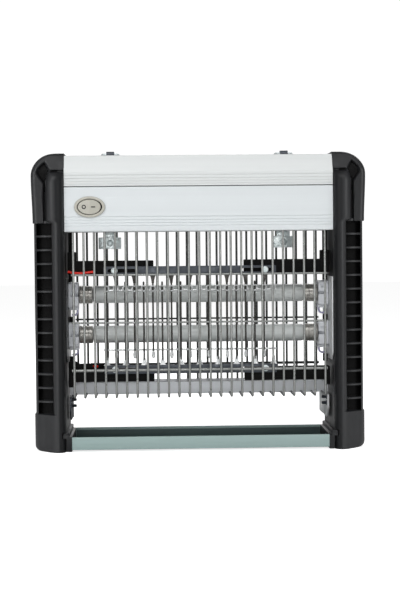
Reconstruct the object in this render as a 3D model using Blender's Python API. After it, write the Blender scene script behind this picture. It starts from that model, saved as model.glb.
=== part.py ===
"""Electric bug zapper: a standing cage with two lamps, a charged wire grid and a pull-out tray."""

import math

import bmesh
import bpy
from mathutils import Vector

MM = 0.001

# Overall sizes. X runs along the width, -Y is the front, Z is up, and Z = 0 is the floor.
WIDTH = 290.0 * MM
HEIGHT = 257.5 * MM
DEPTH = 90.0 * MM
GAP = 0.3 * MM  # between pieces that touch

# End frames, the hollow posts at both ends.
POST_WIDTH = 28.5 * MM
BEAD_PROUD = 7.0 * MM  # the round bead stands this far in front of the post's face
BEAD_SETBACK = 0.5 * MM
BEAD_WIDTH = 10.4 * MM
BEAD_HEAD_WIDTH = 14.8 * MM
BEAD_HEAD_TOP = 16.1 * MM  # below the top of the post
BEAD_DOME = 7.5 * MM
BEAD_NECK = 56.7 * MM
TOP_CORNER_RADIUS = 20.0 * MM
FOOT_CORNER_RADIUS = 8.0 * MM
POST_WALL = 2.5 * MM
LADDER_INSET = 3.7 * MM
FOOT_INSET = 1.5 * MM
LADDER_TOP_DROP = 59.5 * MM
LADDER_BOTTOM = 32.5 * MM
LADDER_OPENINGS = 14
LADDER_RIB = 1.5 * MM
LADDER_POCKET = 4.0 * MM
LADDER_STRIP = 2.2 * MM  # the thin upright at the outer corner, and the depth of the side pockets
INNER_PANEL = 5.0 * MM

# Housing and its cover, two extrusions between the posts.
HOUSING_HEIGHT = 67.0 * MM
HOUSING_WALL = 1.6 * MM
COVER_DROP = 28.2 * MM  # from the top of the posts to the joint line
COVER_TOP_DROP = 1.0 * MM
COVER_SLOPE_HEIGHT = 14.5 * MM
COVER_SLOPE_RUN = 7.0 * MM
GROOVE_PITCH = 2.9 * MM
GROOVE_WIDTH = 0.8 * MM
GROOVE_DEPTH = 0.5 * MM
COVER_GROOVES = 4
HOUSING_GROOVES = 3
HOUSING_GROOVE_START = 5.5 * MM
COVER_GROOVE_START = 2.4 * MM

# Rocker switch.
SWITCH_INSET = 22.2 * MM  # from the inner face of the left post
SWITCH_RISE = 21.3 * MM  # above the underside of the housing
BEZEL_WIDTH = 26.7 * MM
BEZEL_HEIGHT = 18.2 * MM
BEZEL_THICKNESS = 1.6 * MM
SWITCH_BARREL_DEPTH = 11.0 * MM
SWITCH_BARREL_WALL = 0.8 * MM
ROCKER_LENGTH = 20.7 * MM
ROCKER_HEIGHT = 12.8 * MM
ROCKER_CLEARANCE = 0.35 * MM
ROCKER_PIVOT_DEPTH = 2.4 * MM  # behind the bezel's front face
ROCKER_CREST = 3.3 * MM  # crest of the rocker in front of its pivot
ROCKER_REAR = 2.5 * MM  # its flat back behind its pivot
ROCKER_THROW = 20.0  # degrees between its two positions

# Lamps: straight tubes with two-pin caps.
LAMP_SPACING = 35.4 * MM
LAMP_DROP = 0.8 * MM  # pair's middle below the middle of the cage
LAMP_RADIUS = 7.6 * MM
LAMP_CAP_RADIUS = 7.9 * MM
LAMP_CAP_LENGTH = 12.0 * MM
PIN_RADIUS = 1.15 * MM
PIN_SPACING = 4.75 * MM
PIN_LENGTH = 6.8 * MM
HOLDER_THICKNESS = 8.6 * MM
HOLDER_DEPTH = 20.0 * MM
HOLDER_HEIGHT = 22.0 * MM
HOLDER_BACK = 0.9 * MM
HOLDER_TAIL = 8.0 * MM
ROTOR_RADIUS = 4.8 * MM
ROTOR_BACK = 0.6 * MM
PIN_CLEARANCE = 0.35 * MM

# Guard of round wires on the front, the rear and below.
GUARD_WIRES = 25
GUARD_SIDE_INSET = 5.8 * MM  # from the cage's ends to the outer wires
GUARD_WIRE_RADIUS = 1.0 * MM
GUARD_INSET = 2.0 * MM
GUARD_BOTTOM = 45.8 * MM
GUARD_BEND = 3.0 * MM
GUARD_BEND_STEPS = 2
FLOOR_ROD_SETBACK = 15.0 * MM  # behind the front of the rail
UPPER_CROSSBAR_DROP = 37.6 * MM  # below the housing
LOWER_CROSSBAR_RISE = 24.2 * MM  # above the bottom of the guard
CROSSBAR_RADII = (0.9 * MM, 0.8 * MM, 1.25 * MM)  # from the top down
WELD_BITE = 0.3 * MM

# Charged grid: two combs whose wires alternate.
GRID_Y = -22.4 * MM
GRID_LEFT_INSET = 31.2 * MM  # from the cage's left end to the bars
GRID_RIGHT_INSET = 47.3 * MM
GRID_END_MARGIN = 2.7 * MM  # from the ends of the bars to the outer wires
GRID_WIRES = 19
GRID_WIRE_RADIUS = 0.8 * MM
GRID_BAR_HEIGHT = 7.6 * MM
GRID_BAR_THICKNESS = 2.0 * MM
UPPER_BAR_DROP = 34.2 * MM  # below the housing
LOWER_BAR_RISE = 24.0 * MM  # above the bottom of the guard
GRID_SLOT_LENGTH = 26.0 * MM
GRID_SLOT_HEIGHT = 3.4 * MM
GRID_TAB_HEIGHT = 7.5 * MM
GRID_TAB_WIDTH = 4.0 * MM
GRID_TAB_TIP_WIDTH = 2.2 * MM
GRID_REACH = 5.7 * MM  # between a free wire end and the bar it points at
SPACER_HEIGHT = 1.6 * MM
SPACER_THICKNESS = 1.2 * MM
SPACER_INSET = 13.3 * MM
SCREW_INSET = 9.7 * MM
SCREW_HEAD_RADIUS = 2.9 * MM
SCREW_HEAD_HEIGHT = 1.6 * MM
SCREW_SHANK_RADIUS = 1.3 * MM
SCREW_SHANK_LENGTH = 7.0 * MM
SCREW_CROSS_LENGTH = 3.4 * MM
SCREW_CROSS_WIDTH = 0.7 * MM
SCREW_CROSS_DEPTH = 0.8 * MM

# Insulators that carry the grid.
INSULATOR_LENGTH = 75.2 * MM
INSULATOR_HEIGHT = 11.8 * MM
INSULATOR_DEPTH = 10.8 * MM
INSULATOR_OFFSET = 3.0 * MM  # its middle above the upper bar's middle
LOWER_INSULATOR_DROP = 4.9 * MM
INSULATOR_END_LENGTH = 10.0 * MM
INSULATOR_END_HEIGHT = 7.8 * MM
SCREW_HOLE_RADIUS = 1.7 * MM

# Plates on the posts' inner faces, and the rail and side brackets below the lamps.
SIDE_PLATE = 1.0 * MM
SIDE_PLATE_BOTTOM = 24.0 * MM
SIDE_PLATE_CORNER = 14.0 * MM
SIDE_PLATE_SETBACK = 2.0 * MM
RAIL_HEIGHT = 7.5 * MM
RAIL_DEPTH = 34.0 * MM
RAIL_THICKNESS = 1.2 * MM
RAIL_FRONT = -2.0 * MM
BRACKET_THICKNESS = 1.5 * MM
BRACKET_DEPTH = 26.0 * MM
BRACKET_FLANGE = 4.5 * MM
BRACKET_BOTTOM = 24.0 * MM
BRACKET_TOP = 45.0 * MM
STUD_RADIUS = 1.5 * MM
STUD_LENGTH = 4.7 * MM
STUD_HEIGHTS = (42.4 * MM, 37.0 * MM)

# Clips that hold the top of the rear guard.
CLIP_INSET = 37.5 * MM  # from a post to a clip's middle
CLIP_WIDTH = 20.5 * MM
CLIP_HEIGHT = 10.5 * MM
CLIP_TAB_WIDTH = 12.0 * MM
CLIP_TAB_HEIGHT = 4.3 * MM
CLIP_THICKNESS = 1.2 * MM

# Hangers on the cover.
HANGER_INSET = 39.5 * MM  # from a post to a hanger's middle
HANGER_PLATE_LENGTH = 22.0 * MM
HANGER_PLATE_DEPTH = 11.0 * MM
HANGER_PLATE_THICKNESS = 0.8 * MM
HANGER_STRAP_WIDTH = 7.0 * MM
HANGER_STRAP_THICKNESS = 1.2 * MM
BAIL_WIRE_RADIUS = 1.0 * MM
BAIL_WIDTH = 16.0 * MM
BAIL_REACH = 20.0 * MM
BAIL_CLEARANCE = 0.4 * MM

# Tray.
TRAY_WALL = 1.1 * MM
TRAY_BOTTOM = 1.9 * MM
TRAY_HEIGHT = 11.2 * MM
TRAY_FRONT_SETBACK = 3.0 * MM
TRAY_REAR_SETBACK = 12.0 * MM
TRAY_CAP_LENGTH = 4.7 * MM
TRAY_CAP_CLEARANCE = 0.4 * MM  # under the caps
RUNNER_BOTTOM = 11.9 * MM
RUNNER_HEIGHT = 5.1 * MM
RUNNER_DEPTH = 3.3 * MM
RUNNER_CLEARANCE = 0.35 * MM

# Electrical parts inside the housing.
PARTS_SPACE = 9.0 * MM  # between neighbours, and from the right post
BALLAST_LEFT_INSET = 56.0 * MM
BALLAST_DEPTH = 52.0 * MM
BALLAST_THICKNESS = 1.6 * MM
TRANSFORMER_SIZE = (34.0 * MM, 38.0 * MM, 27.0 * MM)
CAPACITOR_RADIUS = 9.0 * MM
CAPACITOR_LENGTH = 34.0 * MM
TERMINAL_SIZE = (18.0 * MM, 24.0 * MM, 12.0 * MM)
GLAND_INSET = 21.5 * MM  # from the right post
GLAND_RISE = 19.0 * MM
GLAND_RADIUS = 4.0 * MM
GLAND_FLANGE_RADIUS = 6.5 * MM
GLAND_FLANGE = 2.0 * MM
GLAND_LENGTH = 11.0 * MM
GLAND_BORE = 2.7 * MM
LEAD_RADIUS = 1.0 * MM

# Values that follow from the ones above.
OUTER_X = WIDTH / 2
INNER_X = OUTER_X - POST_WIDTH
BAY_X = INNER_X - GAP
CAGE_X = BAY_X - SIDE_PLATE - GAP
SHELL_X = INNER_X + INNER_PANEL + GAP
LADDER_X = OUTER_X - LADDER_INSET
FOOT_X = OUTER_X - FOOT_INSET
LADDER_TOP = HEIGHT - LADDER_TOP_DROP
FACE_Y = DEPTH / 2 - BEAD_PROUD
HOUSING_BOTTOM = HEIGHT - HOUSING_HEIGHT
COVER_BOTTOM = HEIGHT - COVER_DROP + GAP
HOUSING_TOP = HEIGHT - COVER_DROP
COVER_TOP = HEIGHT - COVER_TOP_DROP
SWITCH_X = -(INNER_X - SWITCH_INSET)
SWITCH_Z = HOUSING_BOTTOM + SWITCH_RISE
BEZEL_FRONT = -(FACE_Y + GAP + BEZEL_THICKNESS)
ROCKER_Y = BEZEL_FRONT + ROCKER_PIVOT_DEPTH
CAGE_MIDDLE = (GUARD_BOTTOM + HOUSING_BOTTOM) / 2
LAMP_HEIGHTS = {
    "upper": CAGE_MIDDLE - LAMP_DROP + LAMP_SPACING / 2,
    "lower": CAGE_MIDDLE - LAMP_DROP - LAMP_SPACING / 2,
}
HOLDER_FACE_X = CAGE_X - HOLDER_THICKNESS
LAMP_END_X = HOLDER_FACE_X - GAP
GUARD_Y = FACE_Y - GUARD_INSET
GUARD_FLOOR_Z = GUARD_BOTTOM + GUARD_WIRE_RADIUS
GUARD_TOP = HOUSING_BOTTOM - GAP
GUARD_PITCH = 2 * (CAGE_X - GUARD_SIDE_INSET) / (GUARD_WIRES - 1)
UPPER_CROSSBAR_Z = HOUSING_BOTTOM - UPPER_CROSSBAR_DROP
LOWER_CROSSBAR_Z = GUARD_BOTTOM + LOWER_CROSSBAR_RISE
CROSSBAR_HEIGHTS = (UPPER_CROSSBAR_Z, (UPPER_CROSSBAR_Z + LOWER_CROSSBAR_Z) / 2, LOWER_CROSSBAR_Z)
UPPER_BAR_Z = HOUSING_BOTTOM - UPPER_BAR_DROP
LOWER_BAR_Z = GUARD_BOTTOM + LOWER_BAR_RISE
GRID_BAR_LENGTH = 2 * CAGE_X - GRID_LEFT_INSET - GRID_RIGHT_INSET
GRID_SHIFT = (GRID_LEFT_INSET - GRID_RIGHT_INSET) / 2
GRID_PITCH = (GRID_BAR_LENGTH - 2 * GRID_END_MARGIN) / (GRID_WIRES - 1)
CLIP_X = INNER_X - CLIP_INSET
HANGER_X = INNER_X - HANGER_INSET
GLAND_X = INNER_X - GLAND_INSET
PIN_SLOT = 2 * (PIN_RADIUS + PIN_CLEARANCE)
GRID_BACK = GRID_Y + GRID_BAR_THICKNESS / 2
INSULATOR_FRONT = GRID_BACK + GAP
UPPER_INSULATOR_Z = UPPER_BAR_Z + INSULATOR_OFFSET
LOWER_INSULATOR_Z = LOWER_BAR_Z - LOWER_INSULATOR_DROP
RAIL_BOTTOM = GUARD_FLOOR_Z + GUARD_WIRE_RADIUS + GAP
HANGER_PLATE_TOP = COVER_TOP + GAP + HANGER_PLATE_THICKNESS
BAIL_Z = HANGER_PLATE_TOP + BAIL_CLEARANCE + BAIL_WIRE_RADIUS
TRAY_FRONT = -(DEPTH / 2 - TRAY_FRONT_SETBACK)
TRAY_REAR = DEPTH / 2 - TRAY_REAR_SETBACK
TRAY_X = BAY_X - TRAY_CAP_LENGTH - GAP
TRAY_TOP = TRAY_BOTTOM + TRAY_HEIGHT
SIDES = {"left": -1, "right": 1}


# Shapes: each of these adds one closed body to a bmesh.


def at(axis, u, v, along):
    """The point at (u, v) in the plane across an axis, and at a distance along it."""
    return {"X": (along, u, v), "Y": (u, along, v), "Z": (u, v, along)}[axis]


def add_box(shape, low, high):
    """A box between two opposite corners."""
    outline = [(low[0], low[1]), (high[0], low[1]), (high[0], high[1]), (low[0], high[1])]
    add_prism(shape, outline, "Z", low[2], high[2])


def add_prism(shape, outline, axis, low, high):
    """A flat outline drawn across an axis and extruded along it."""
    add_loft(shape, [[at(axis, u, v, along) for u, v in outline] for along in (low, high)])


def add_loft(shape, rings):
    """A body through rings of the same number of points, with its ends closed."""
    loops = [[shape.verts.new(point) for point in ring] for ring in rings]
    count = len(loops[0])
    shape.faces.new(loops[0])
    shape.faces.new(list(reversed(loops[-1])))
    for lower, upper in zip(loops, loops[1:]):
        for i in range(count):
            j = (i + 1) % count
            shape.faces.new((lower[i], lower[j], upper[j], upper[i]))


def add_rod(shape, start, end, radius, sides=8):
    """A round bar between two points."""
    start, end = Vector(start), Vector(end)
    turn = Vector((0, 0, 1)).rotation_difference(end - start).to_matrix().to_4x4()
    turn.translation = (start + end) / 2
    bmesh.ops.create_cone(
        shape,
        cap_ends=True,
        segments=sides,
        radius1=radius,
        radius2=radius,
        depth=(end - start).length,
        matrix=turn,
    )


def arc(centre, radius, first, last, steps):
    """Points on an arc, with its angles in degrees."""
    angles = [math.radians(first + (last - first) * i / steps) for i in range(steps + 1)]
    return [(centre[0] + radius * math.cos(a), centre[1] + radius * math.sin(a)) for a in angles]


def ellipse(centre, width, height, steps=24):
    """Points on an ellipse of a full width and height."""
    angles = [2 * math.pi * i / steps for i in range(steps)]
    return [
        (centre[0] + width / 2 * math.cos(a), centre[1] + height / 2 * math.sin(a)) for a in angles
    ]


# Objects.


def finish(name, colour, roughness, metallic=0.0):
    """A plain Principled material."""
    material = bpy.data.materials.new(name)
    material.use_nodes = True
    shader = material.node_tree.nodes["Principled BSDF"]
    shader.inputs["Base Color"].default_value = (*colour, 1.0)
    shader.inputs["Roughness"].default_value = roughness
    shader.inputs["Metallic"].default_value = metallic
    return material


def make(name, shape, look, origin=(0.0, 0.0, 0.0), smooth=False):
    """An object from a bmesh drawn in world coordinates, with its origin where it turns."""
    bmesh.ops.recalc_face_normals(shape, faces=shape.faces)
    bmesh.ops.translate(shape, verts=shape.verts, vec=-Vector(origin))
    mesh = bpy.data.meshes.new(name)
    shape.to_mesh(mesh)
    shape.free()
    mesh.materials.append(finish(name, *look))
    if smooth:
        mesh.shade_smooth()
        mesh.set_sharp_from_angle(angle=math.radians(35))
    thing = bpy.data.objects.new(name, mesh)
    thing.location = origin
    bpy.context.scene.collection.objects.link(thing)
    return thing


def combine(thing, operation, shape):
    """A Boolean on an object, with a hidden guide object as its operand."""
    guide = make(f"{thing.name}_guide_{len(thing.modifiers)}", shape, BLACK_PLASTIC)
    guide.hide_render = True
    guide.display_type = "WIRE"
    modifier = thing.modifiers.new(operation.lower(), "BOOLEAN")
    modifier.operation = operation
    modifier.object = guide


BLACK_PLASTIC = ((0.030, 0.031, 0.033), 0.45)
DEEP_BLACK = ((0.008, 0.008, 0.009), 0.4)
ALUMINIUM = ((0.70, 0.72, 0.72), 0.35, 0.6)
SWITCH_GREY = ((0.50, 0.49, 0.43), 0.45)
LAMP_GLASS = ((0.55, 0.57, 0.57), 0.25)
LAMP_METAL = ((0.55, 0.54, 0.50), 0.3, 1.0)
HOLDER_WHITE = ((0.62, 0.64, 0.74), 0.5)
WIRE_GREY = ((0.27, 0.27, 0.24), 0.4, 0.6)
GRID_STEEL = ((0.45, 0.45, 0.45), 0.35, 1.0)
ZINC = ((0.62, 0.66, 0.66), 0.3, 1.0)
TEAL = ((0.33, 0.43, 0.43), 0.45, 0.3)
LEAD_RED = ((0.75, 0.02, 0.01), 0.45)
BOARD_GREEN = ((0.03, 0.15, 0.06), 0.5)
CAPACITOR_YELLOW = ((0.55, 0.35, 0.05), 0.5)
TERMINAL_WHITE = ((0.75, 0.75, 0.72), 0.5)


# End frames.


def bead_ring(side, facing, width, depth, z):
    """One section of a half-round bead on a post's front or rear face."""
    inner = INNER_X + BEAD_SETBACK
    root = SHELL_X + GAP
    middle = inner + width / 2
    curve = [
        (middle - width / 2 * math.cos(math.radians(a)), FACE_Y + depth * math.sin(math.radians(a)))
        for a in range(0, 181, 18)
    ]
    seat = FACE_Y - POST_WALL / 2
    outline = curve + [(inner + width, seat), (root, seat), (root, FACE_Y)]
    return [(side * x, facing * y, z) for x, y in outline]


def add_bead(shape, side, facing):
    """The bead: narrow below, wide beside the housing, with a domed top."""
    neck = HEIGHT - BEAD_NECK
    top = HEIGHT - BEAD_HEAD_TOP
    stations = [(0.0, BEAD_WIDTH, 1.0), (neck - BEAD_WIDTH / 8, BEAD_WIDTH, 1.0)]
    stations.append((neck, BEAD_HEAD_WIDTH, 1.0))
    for angle in (0, 30, 55, 75):
        turn = math.radians(angle)
        rise = top - BEAD_DOME + BEAD_DOME * math.sin(turn)
        stations.append((rise, BEAD_HEAD_WIDTH, math.cos(turn)))
    rings = [bead_ring(side, facing, width, BEAD_PROUD * part, z) for z, width, part in stations]
    add_loft(shape, rings)


def add_runner_cut(shape, side):
    """The groove that the tray's runner slides in, closed at the rear."""
    add_box(
        shape,
        (side * (INNER_X - POST_WALL), -DEPTH, RUNNER_BOTTOM),
        (side * (INNER_X + RUNNER_DEPTH), TRAY_REAR + GAP, RUNNER_BOTTOM + RUNNER_HEIGHT),
    )


def build_end_frame(name, side):
    """A hollow post, open towards the cage, with a ladder of shallow pockets on its outside."""
    foot = arc((FOOT_X - FOOT_CORNER_RADIUS, FOOT_CORNER_RADIUS), FOOT_CORNER_RADIUS, -90, 0, 4)
    head = arc((OUTER_X - TOP_CORNER_RADIUS, HEIGHT - TOP_CORNER_RADIUS), TOP_CORNER_RADIUS, 0, 90, 8)
    outline = [(SHELL_X, 0.0), *foot, (FOOT_X, LADDER_BOTTOM), (LADDER_X, LADDER_BOTTOM)]
    outline += [(LADDER_X, LADDER_TOP), (OUTER_X, LADDER_TOP), *head, (SHELL_X, HEIGHT)]
    shape = bmesh.new()
    add_prism(shape, [(side * x, z) for x, z in outline], "Y", -FACE_Y, FACE_Y)
    frame = make(name, shape, BLACK_PLASTIC)

    cavity_x = LADDER_X - LADDER_POCKET - POST_WALL
    cavity_y = FACE_Y - LADDER_POCKET - POST_WALL
    shoulder = HEIGHT - TOP_CORNER_RADIUS
    cavity = [(SHELL_X - POST_WALL, POST_WALL), (cavity_x, POST_WALL), (cavity_x, shoulder)]
    cavity += [(OUTER_X - TOP_CORNER_RADIUS, HEIGHT - POST_WALL)]
    cavity += [(SHELL_X - POST_WALL, HEIGHT - POST_WALL)]
    shape = bmesh.new()
    add_prism(shape, [(side * x, z) for x, z in cavity], "Y", -cavity_y, cavity_y)
    combine(frame, "DIFFERENCE", shape)

    pitch = (LADDER_TOP - LADDER_BOTTOM + LADDER_RIB) / LADDER_OPENINGS
    pocket_x = INNER_X + BEAD_SETBACK + BEAD_WIDTH
    lows = [LADDER_BOTTOM + i * pitch for i in range(LADDER_OPENINGS)]
    for facing in (-1, 1):
        shape = bmesh.new()
        for low in lows:
            near = (side * pocket_x, facing * (FACE_Y - LADDER_POCKET), low)
            far = (side * (LADDER_X - LADDER_STRIP), facing * DEPTH, low + pitch - LADDER_RIB)
            add_box(shape, near, far)
        combine(frame, "DIFFERENCE", shape)
    shape = bmesh.new()
    for low in lows:
        near = (side * (LADDER_X - LADDER_STRIP), -(FACE_Y - LADDER_STRIP), low)
        far = (side * OUTER_X, FACE_Y - LADDER_STRIP, low + pitch - LADDER_RIB)
        add_box(shape, near, far)
    combine(frame, "DIFFERENCE", shape)

    shape = bmesh.new()
    add_bead(shape, side, -1)
    add_bead(shape, side, 1)
    combine(frame, "UNION", shape)
    shape = bmesh.new()
    add_runner_cut(shape, side)
    combine(frame, "DIFFERENCE", shape)


def build_inner_panel(name, side):
    """The plate that closes a post towards the cage and guides the tray."""
    shape = bmesh.new()
    depth = FACE_Y - GAP
    add_box(shape, (side * INNER_X, -depth, 0.0), (side * (INNER_X + INNER_PANEL), depth, HEIGHT))
    panel = make(name, shape, BLACK_PLASTIC)
    shape = bmesh.new()
    add_runner_cut(shape, side)
    combine(panel, "DIFFERENCE", shape)


# Housing.


def grooved(y, first, count):
    """Points up a front face, with shallow grooves cut into it."""
    points = []
    for i in range(count):
        low = first + i * GROOVE_PITCH
        high = low + GROOVE_WIDTH
        points += [(y, low), (y + GROOVE_DEPTH, low), (y + GROOVE_DEPTH, high), (y, high)]
    return points


def mirrored(points):
    """A profile from the front, closed with its mirror image at the rear."""
    return points + [(-y, z) for y, z in reversed(points)]


def build_housing_body():
    """The lower extrusion: a channel with grooves below the switch."""
    outer = [(-FACE_Y, HOUSING_BOTTOM)]
    outer += grooved(-FACE_Y, HOUSING_BOTTOM + HOUSING_GROOVE_START, HOUSING_GROOVES)
    outer.append((-FACE_Y, HOUSING_TOP))
    inner = [
        (-FACE_Y + HOUSING_WALL, HOUSING_TOP),
        (-FACE_Y + HOUSING_WALL, HOUSING_BOTTOM + HOUSING_WALL),
    ]
    shape = bmesh.new()
    add_prism(shape, mirrored(outer + inner), "X", -BAY_X, BAY_X)
    body = make("housing_body", shape, ALUMINIUM)
    shape = bmesh.new()
    hole = ellipse((SWITCH_X, SWITCH_Z), *barrel_size(GAP))
    add_prism(shape, hole, "Y", -FACE_Y - HOUSING_WALL, -FACE_Y + 2 * HOUSING_WALL)
    combine(body, "DIFFERENCE", shape)
    shape = bmesh.new()
    gland_z = HOUSING_BOTTOM + GLAND_RISE
    near = (GLAND_X, FACE_Y - 2 * HOUSING_WALL, gland_z)
    add_rod(shape, near, (GLAND_X, DEPTH / 2, gland_z), GLAND_RADIUS + GAP, 16)
    combine(body, "DIFFERENCE", shape)


def build_top_cover():
    """The upper extrusion: a grooved band, two sloping faces and a flat top."""
    slope_z = COVER_TOP - COVER_SLOPE_HEIGHT
    outer = [(-FACE_Y, COVER_BOTTOM)]
    outer += grooved(-FACE_Y, COVER_BOTTOM + COVER_GROOVE_START, COVER_GROOVES)
    outer += [(-FACE_Y, slope_z), (-FACE_Y + COVER_SLOPE_RUN, COVER_TOP)]
    thick = HOUSING_WALL
    inner = [
        (-FACE_Y + COVER_SLOPE_RUN + thick / 2, COVER_TOP - thick),
        (-FACE_Y + thick, slope_z - thick / 4),
        (-FACE_Y + thick, COVER_BOTTOM),
    ]
    outline = outer + [(-y, z) for y, z in reversed(outer)] + [(-y, z) for y, z in reversed(inner)]
    shape = bmesh.new()
    add_prism(shape, outline + inner, "X", -BAY_X, BAY_X)
    make("top_cover", shape, ALUMINIUM)


def barrel_size(extra):
    """Width and height of the switch's barrel, grown all round by a clearance."""
    grow = 2 * (ROCKER_CLEARANCE + SWITCH_BARREL_WALL + extra)
    return ROCKER_LENGTH + grow, ROCKER_HEIGHT + grow


def build_switch():
    """An oval bezel with a barrel behind it, and the rocker that tips inside."""
    centre = (SWITCH_X, SWITCH_Z)
    shape = bmesh.new()
    flange_back = BEZEL_FRONT + BEZEL_THICKNESS
    back = BEZEL_FRONT + SWITCH_BARREL_DEPTH
    add_prism(shape, ellipse(centre, BEZEL_WIDTH, BEZEL_HEIGHT), "Y", BEZEL_FRONT, flange_back)
    bezel = make("switch_bezel", shape, SWITCH_GREY, smooth=True)
    shape = bmesh.new()
    add_prism(shape, ellipse(centre, *barrel_size(0.0)), "Y", flange_back - WELD_BITE, back)
    combine(bezel, "UNION", shape)
    opening = 2 * ROCKER_CLEARANCE
    recess = ellipse(centre, ROCKER_LENGTH + opening, ROCKER_HEIGHT + opening)
    shape = bmesh.new()
    add_prism(shape, recess, "Y", BEZEL_FRONT - BEZEL_THICKNESS, back - SWITCH_BARREL_WALL)
    combine(bezel, "DIFFERENCE", shape)

    pivot = (SWITCH_X, ROCKER_Y, SWITCH_Z)
    half = ROCKER_LENGTH / 2
    rings = []
    for angle in range(-80, 81, 20):
        turn = math.radians(angle)
        section = ellipse((SWITCH_X, ROCKER_Y), 2 * half * math.cos(turn), 2 * half * math.cos(turn))
        z = SWITCH_Z + ROCKER_HEIGHT / 2 * math.sin(turn) / math.sin(math.radians(80))
        rings.append([(x, y, z) for x, y in section])
    shape = bmesh.new()
    add_loft(shape, rings)
    rocker = make("switch_rocker", shape, SWITCH_GREY, origin=pivot, smooth=True)
    crest = ROCKER_Y - ROCKER_CREST
    dip = half * math.tan(math.radians(ROCKER_THROW))
    rear = ROCKER_Y + ROCKER_REAR
    face = [(-half, crest), (0.0, crest), (half, crest + dip), (half, rear), (-half, rear)]
    shape = bmesh.new()
    outline = [(SWITCH_X + 1.1 * x, y) for x, y in face]
    add_prism(shape, outline, "Z", SWITCH_Z - ROCKER_HEIGHT, SWITCH_Z + ROCKER_HEIGHT)
    combine(rocker, "INTERSECT", shape)


def build_electrics():
    """The boards and parts that stand on the floor of the housing."""
    floor = HOUSING_BOTTOM + HOUSING_WALL + GAP
    right = INNER_X - PARTS_SPACE
    left = -(INNER_X - BALLAST_LEFT_INSET)
    board_end = right - TERMINAL_SIZE[0] - TRANSFORMER_SIZE[0] - 2 * PARTS_SPACE
    ballast_size = (board_end - left, BALLAST_DEPTH, BALLAST_THICKNESS)
    pieces = (
        ("terminal_block", TERMINAL_SIZE, TERMINAL_WHITE),
        ("hv_transformer", TRANSFORMER_SIZE, DEEP_BLACK),
        ("ballast_board", ballast_size, BOARD_GREEN),
    )
    for name, (length, depth, height), look in pieces:
        shape = bmesh.new()
        add_box(shape, (right - length, -depth / 2, floor), (right, depth / 2, floor + height))
        make(name, shape, look)
        right -= length + PARTS_SPACE
    shape = bmesh.new()
    z = floor + BALLAST_THICKNESS + GAP + CAPACITOR_RADIUS
    half = CAPACITOR_LENGTH / 2
    x = (left + board_end) / 2
    add_rod(shape, (x - half, 0.0, z), (x + half, 0.0, z), CAPACITOR_RADIUS, 16)
    make("smoothing_capacitor", shape, CAPACITOR_YELLOW, smooth=True)


def build_cable_gland():
    """The inlet at the rear, a flanged bush with a through bore."""
    z = HOUSING_BOTTOM + GLAND_RISE
    end = DEPTH / 2 - GAP
    seat = FACE_Y + GAP
    shape = bmesh.new()
    add_rod(shape, (GLAND_X, end - GLAND_LENGTH, z), (GLAND_X, end, z), GLAND_RADIUS, 16)
    gland = make("cable_gland", shape, DEEP_BLACK, smooth=True)
    shape = bmesh.new()
    add_rod(shape, (GLAND_X, seat, z), (GLAND_X, seat + GLAND_FLANGE, z), GLAND_FLANGE_RADIUS, 16)
    combine(gland, "UNION", shape)
    shape = bmesh.new()
    add_rod(shape, (GLAND_X, 0.0, z), (GLAND_X, DEPTH, z), GLAND_BORE, 12)
    combine(gland, "DIFFERENCE", shape)


# Lamps and their holders.


def build_lamp(row, z):
    """A lamp tube with its two caps; each turns about the lamp's axis with the holders' rotors."""
    axis = (0.0, 0.0, z)
    end = LAMP_END_X - LAMP_CAP_LENGTH - GAP
    shape = bmesh.new()
    add_rod(shape, (-end, 0.0, z), (end, 0.0, z), LAMP_RADIUS, 20)
    make(f"{row}_lamp_tube", shape, LAMP_GLASS, origin=axis, smooth=True)
    for side_name, side in SIDES.items():
        near = side * (LAMP_END_X - LAMP_CAP_LENGTH)
        shape = bmesh.new()
        add_rod(shape, (near, 0.0, z), (side * LAMP_END_X, 0.0, z), LAMP_CAP_RADIUS, 20)
        cap = make(f"{row}_{side_name}_lamp_cap", shape, LAMP_METAL, origin=axis, smooth=True)
        shape = bmesh.new()
        for pin in (-1, 1):
            pin_z = z + pin * PIN_SPACING / 2
            tip = LAMP_END_X + PIN_LENGTH
            root = LAMP_END_X - WELD_BITE
            add_rod(shape, (side * root, 0.0, pin_z), (side * tip, 0.0, pin_z), PIN_RADIUS)
        combine(cap, "UNION", shape)


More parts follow.
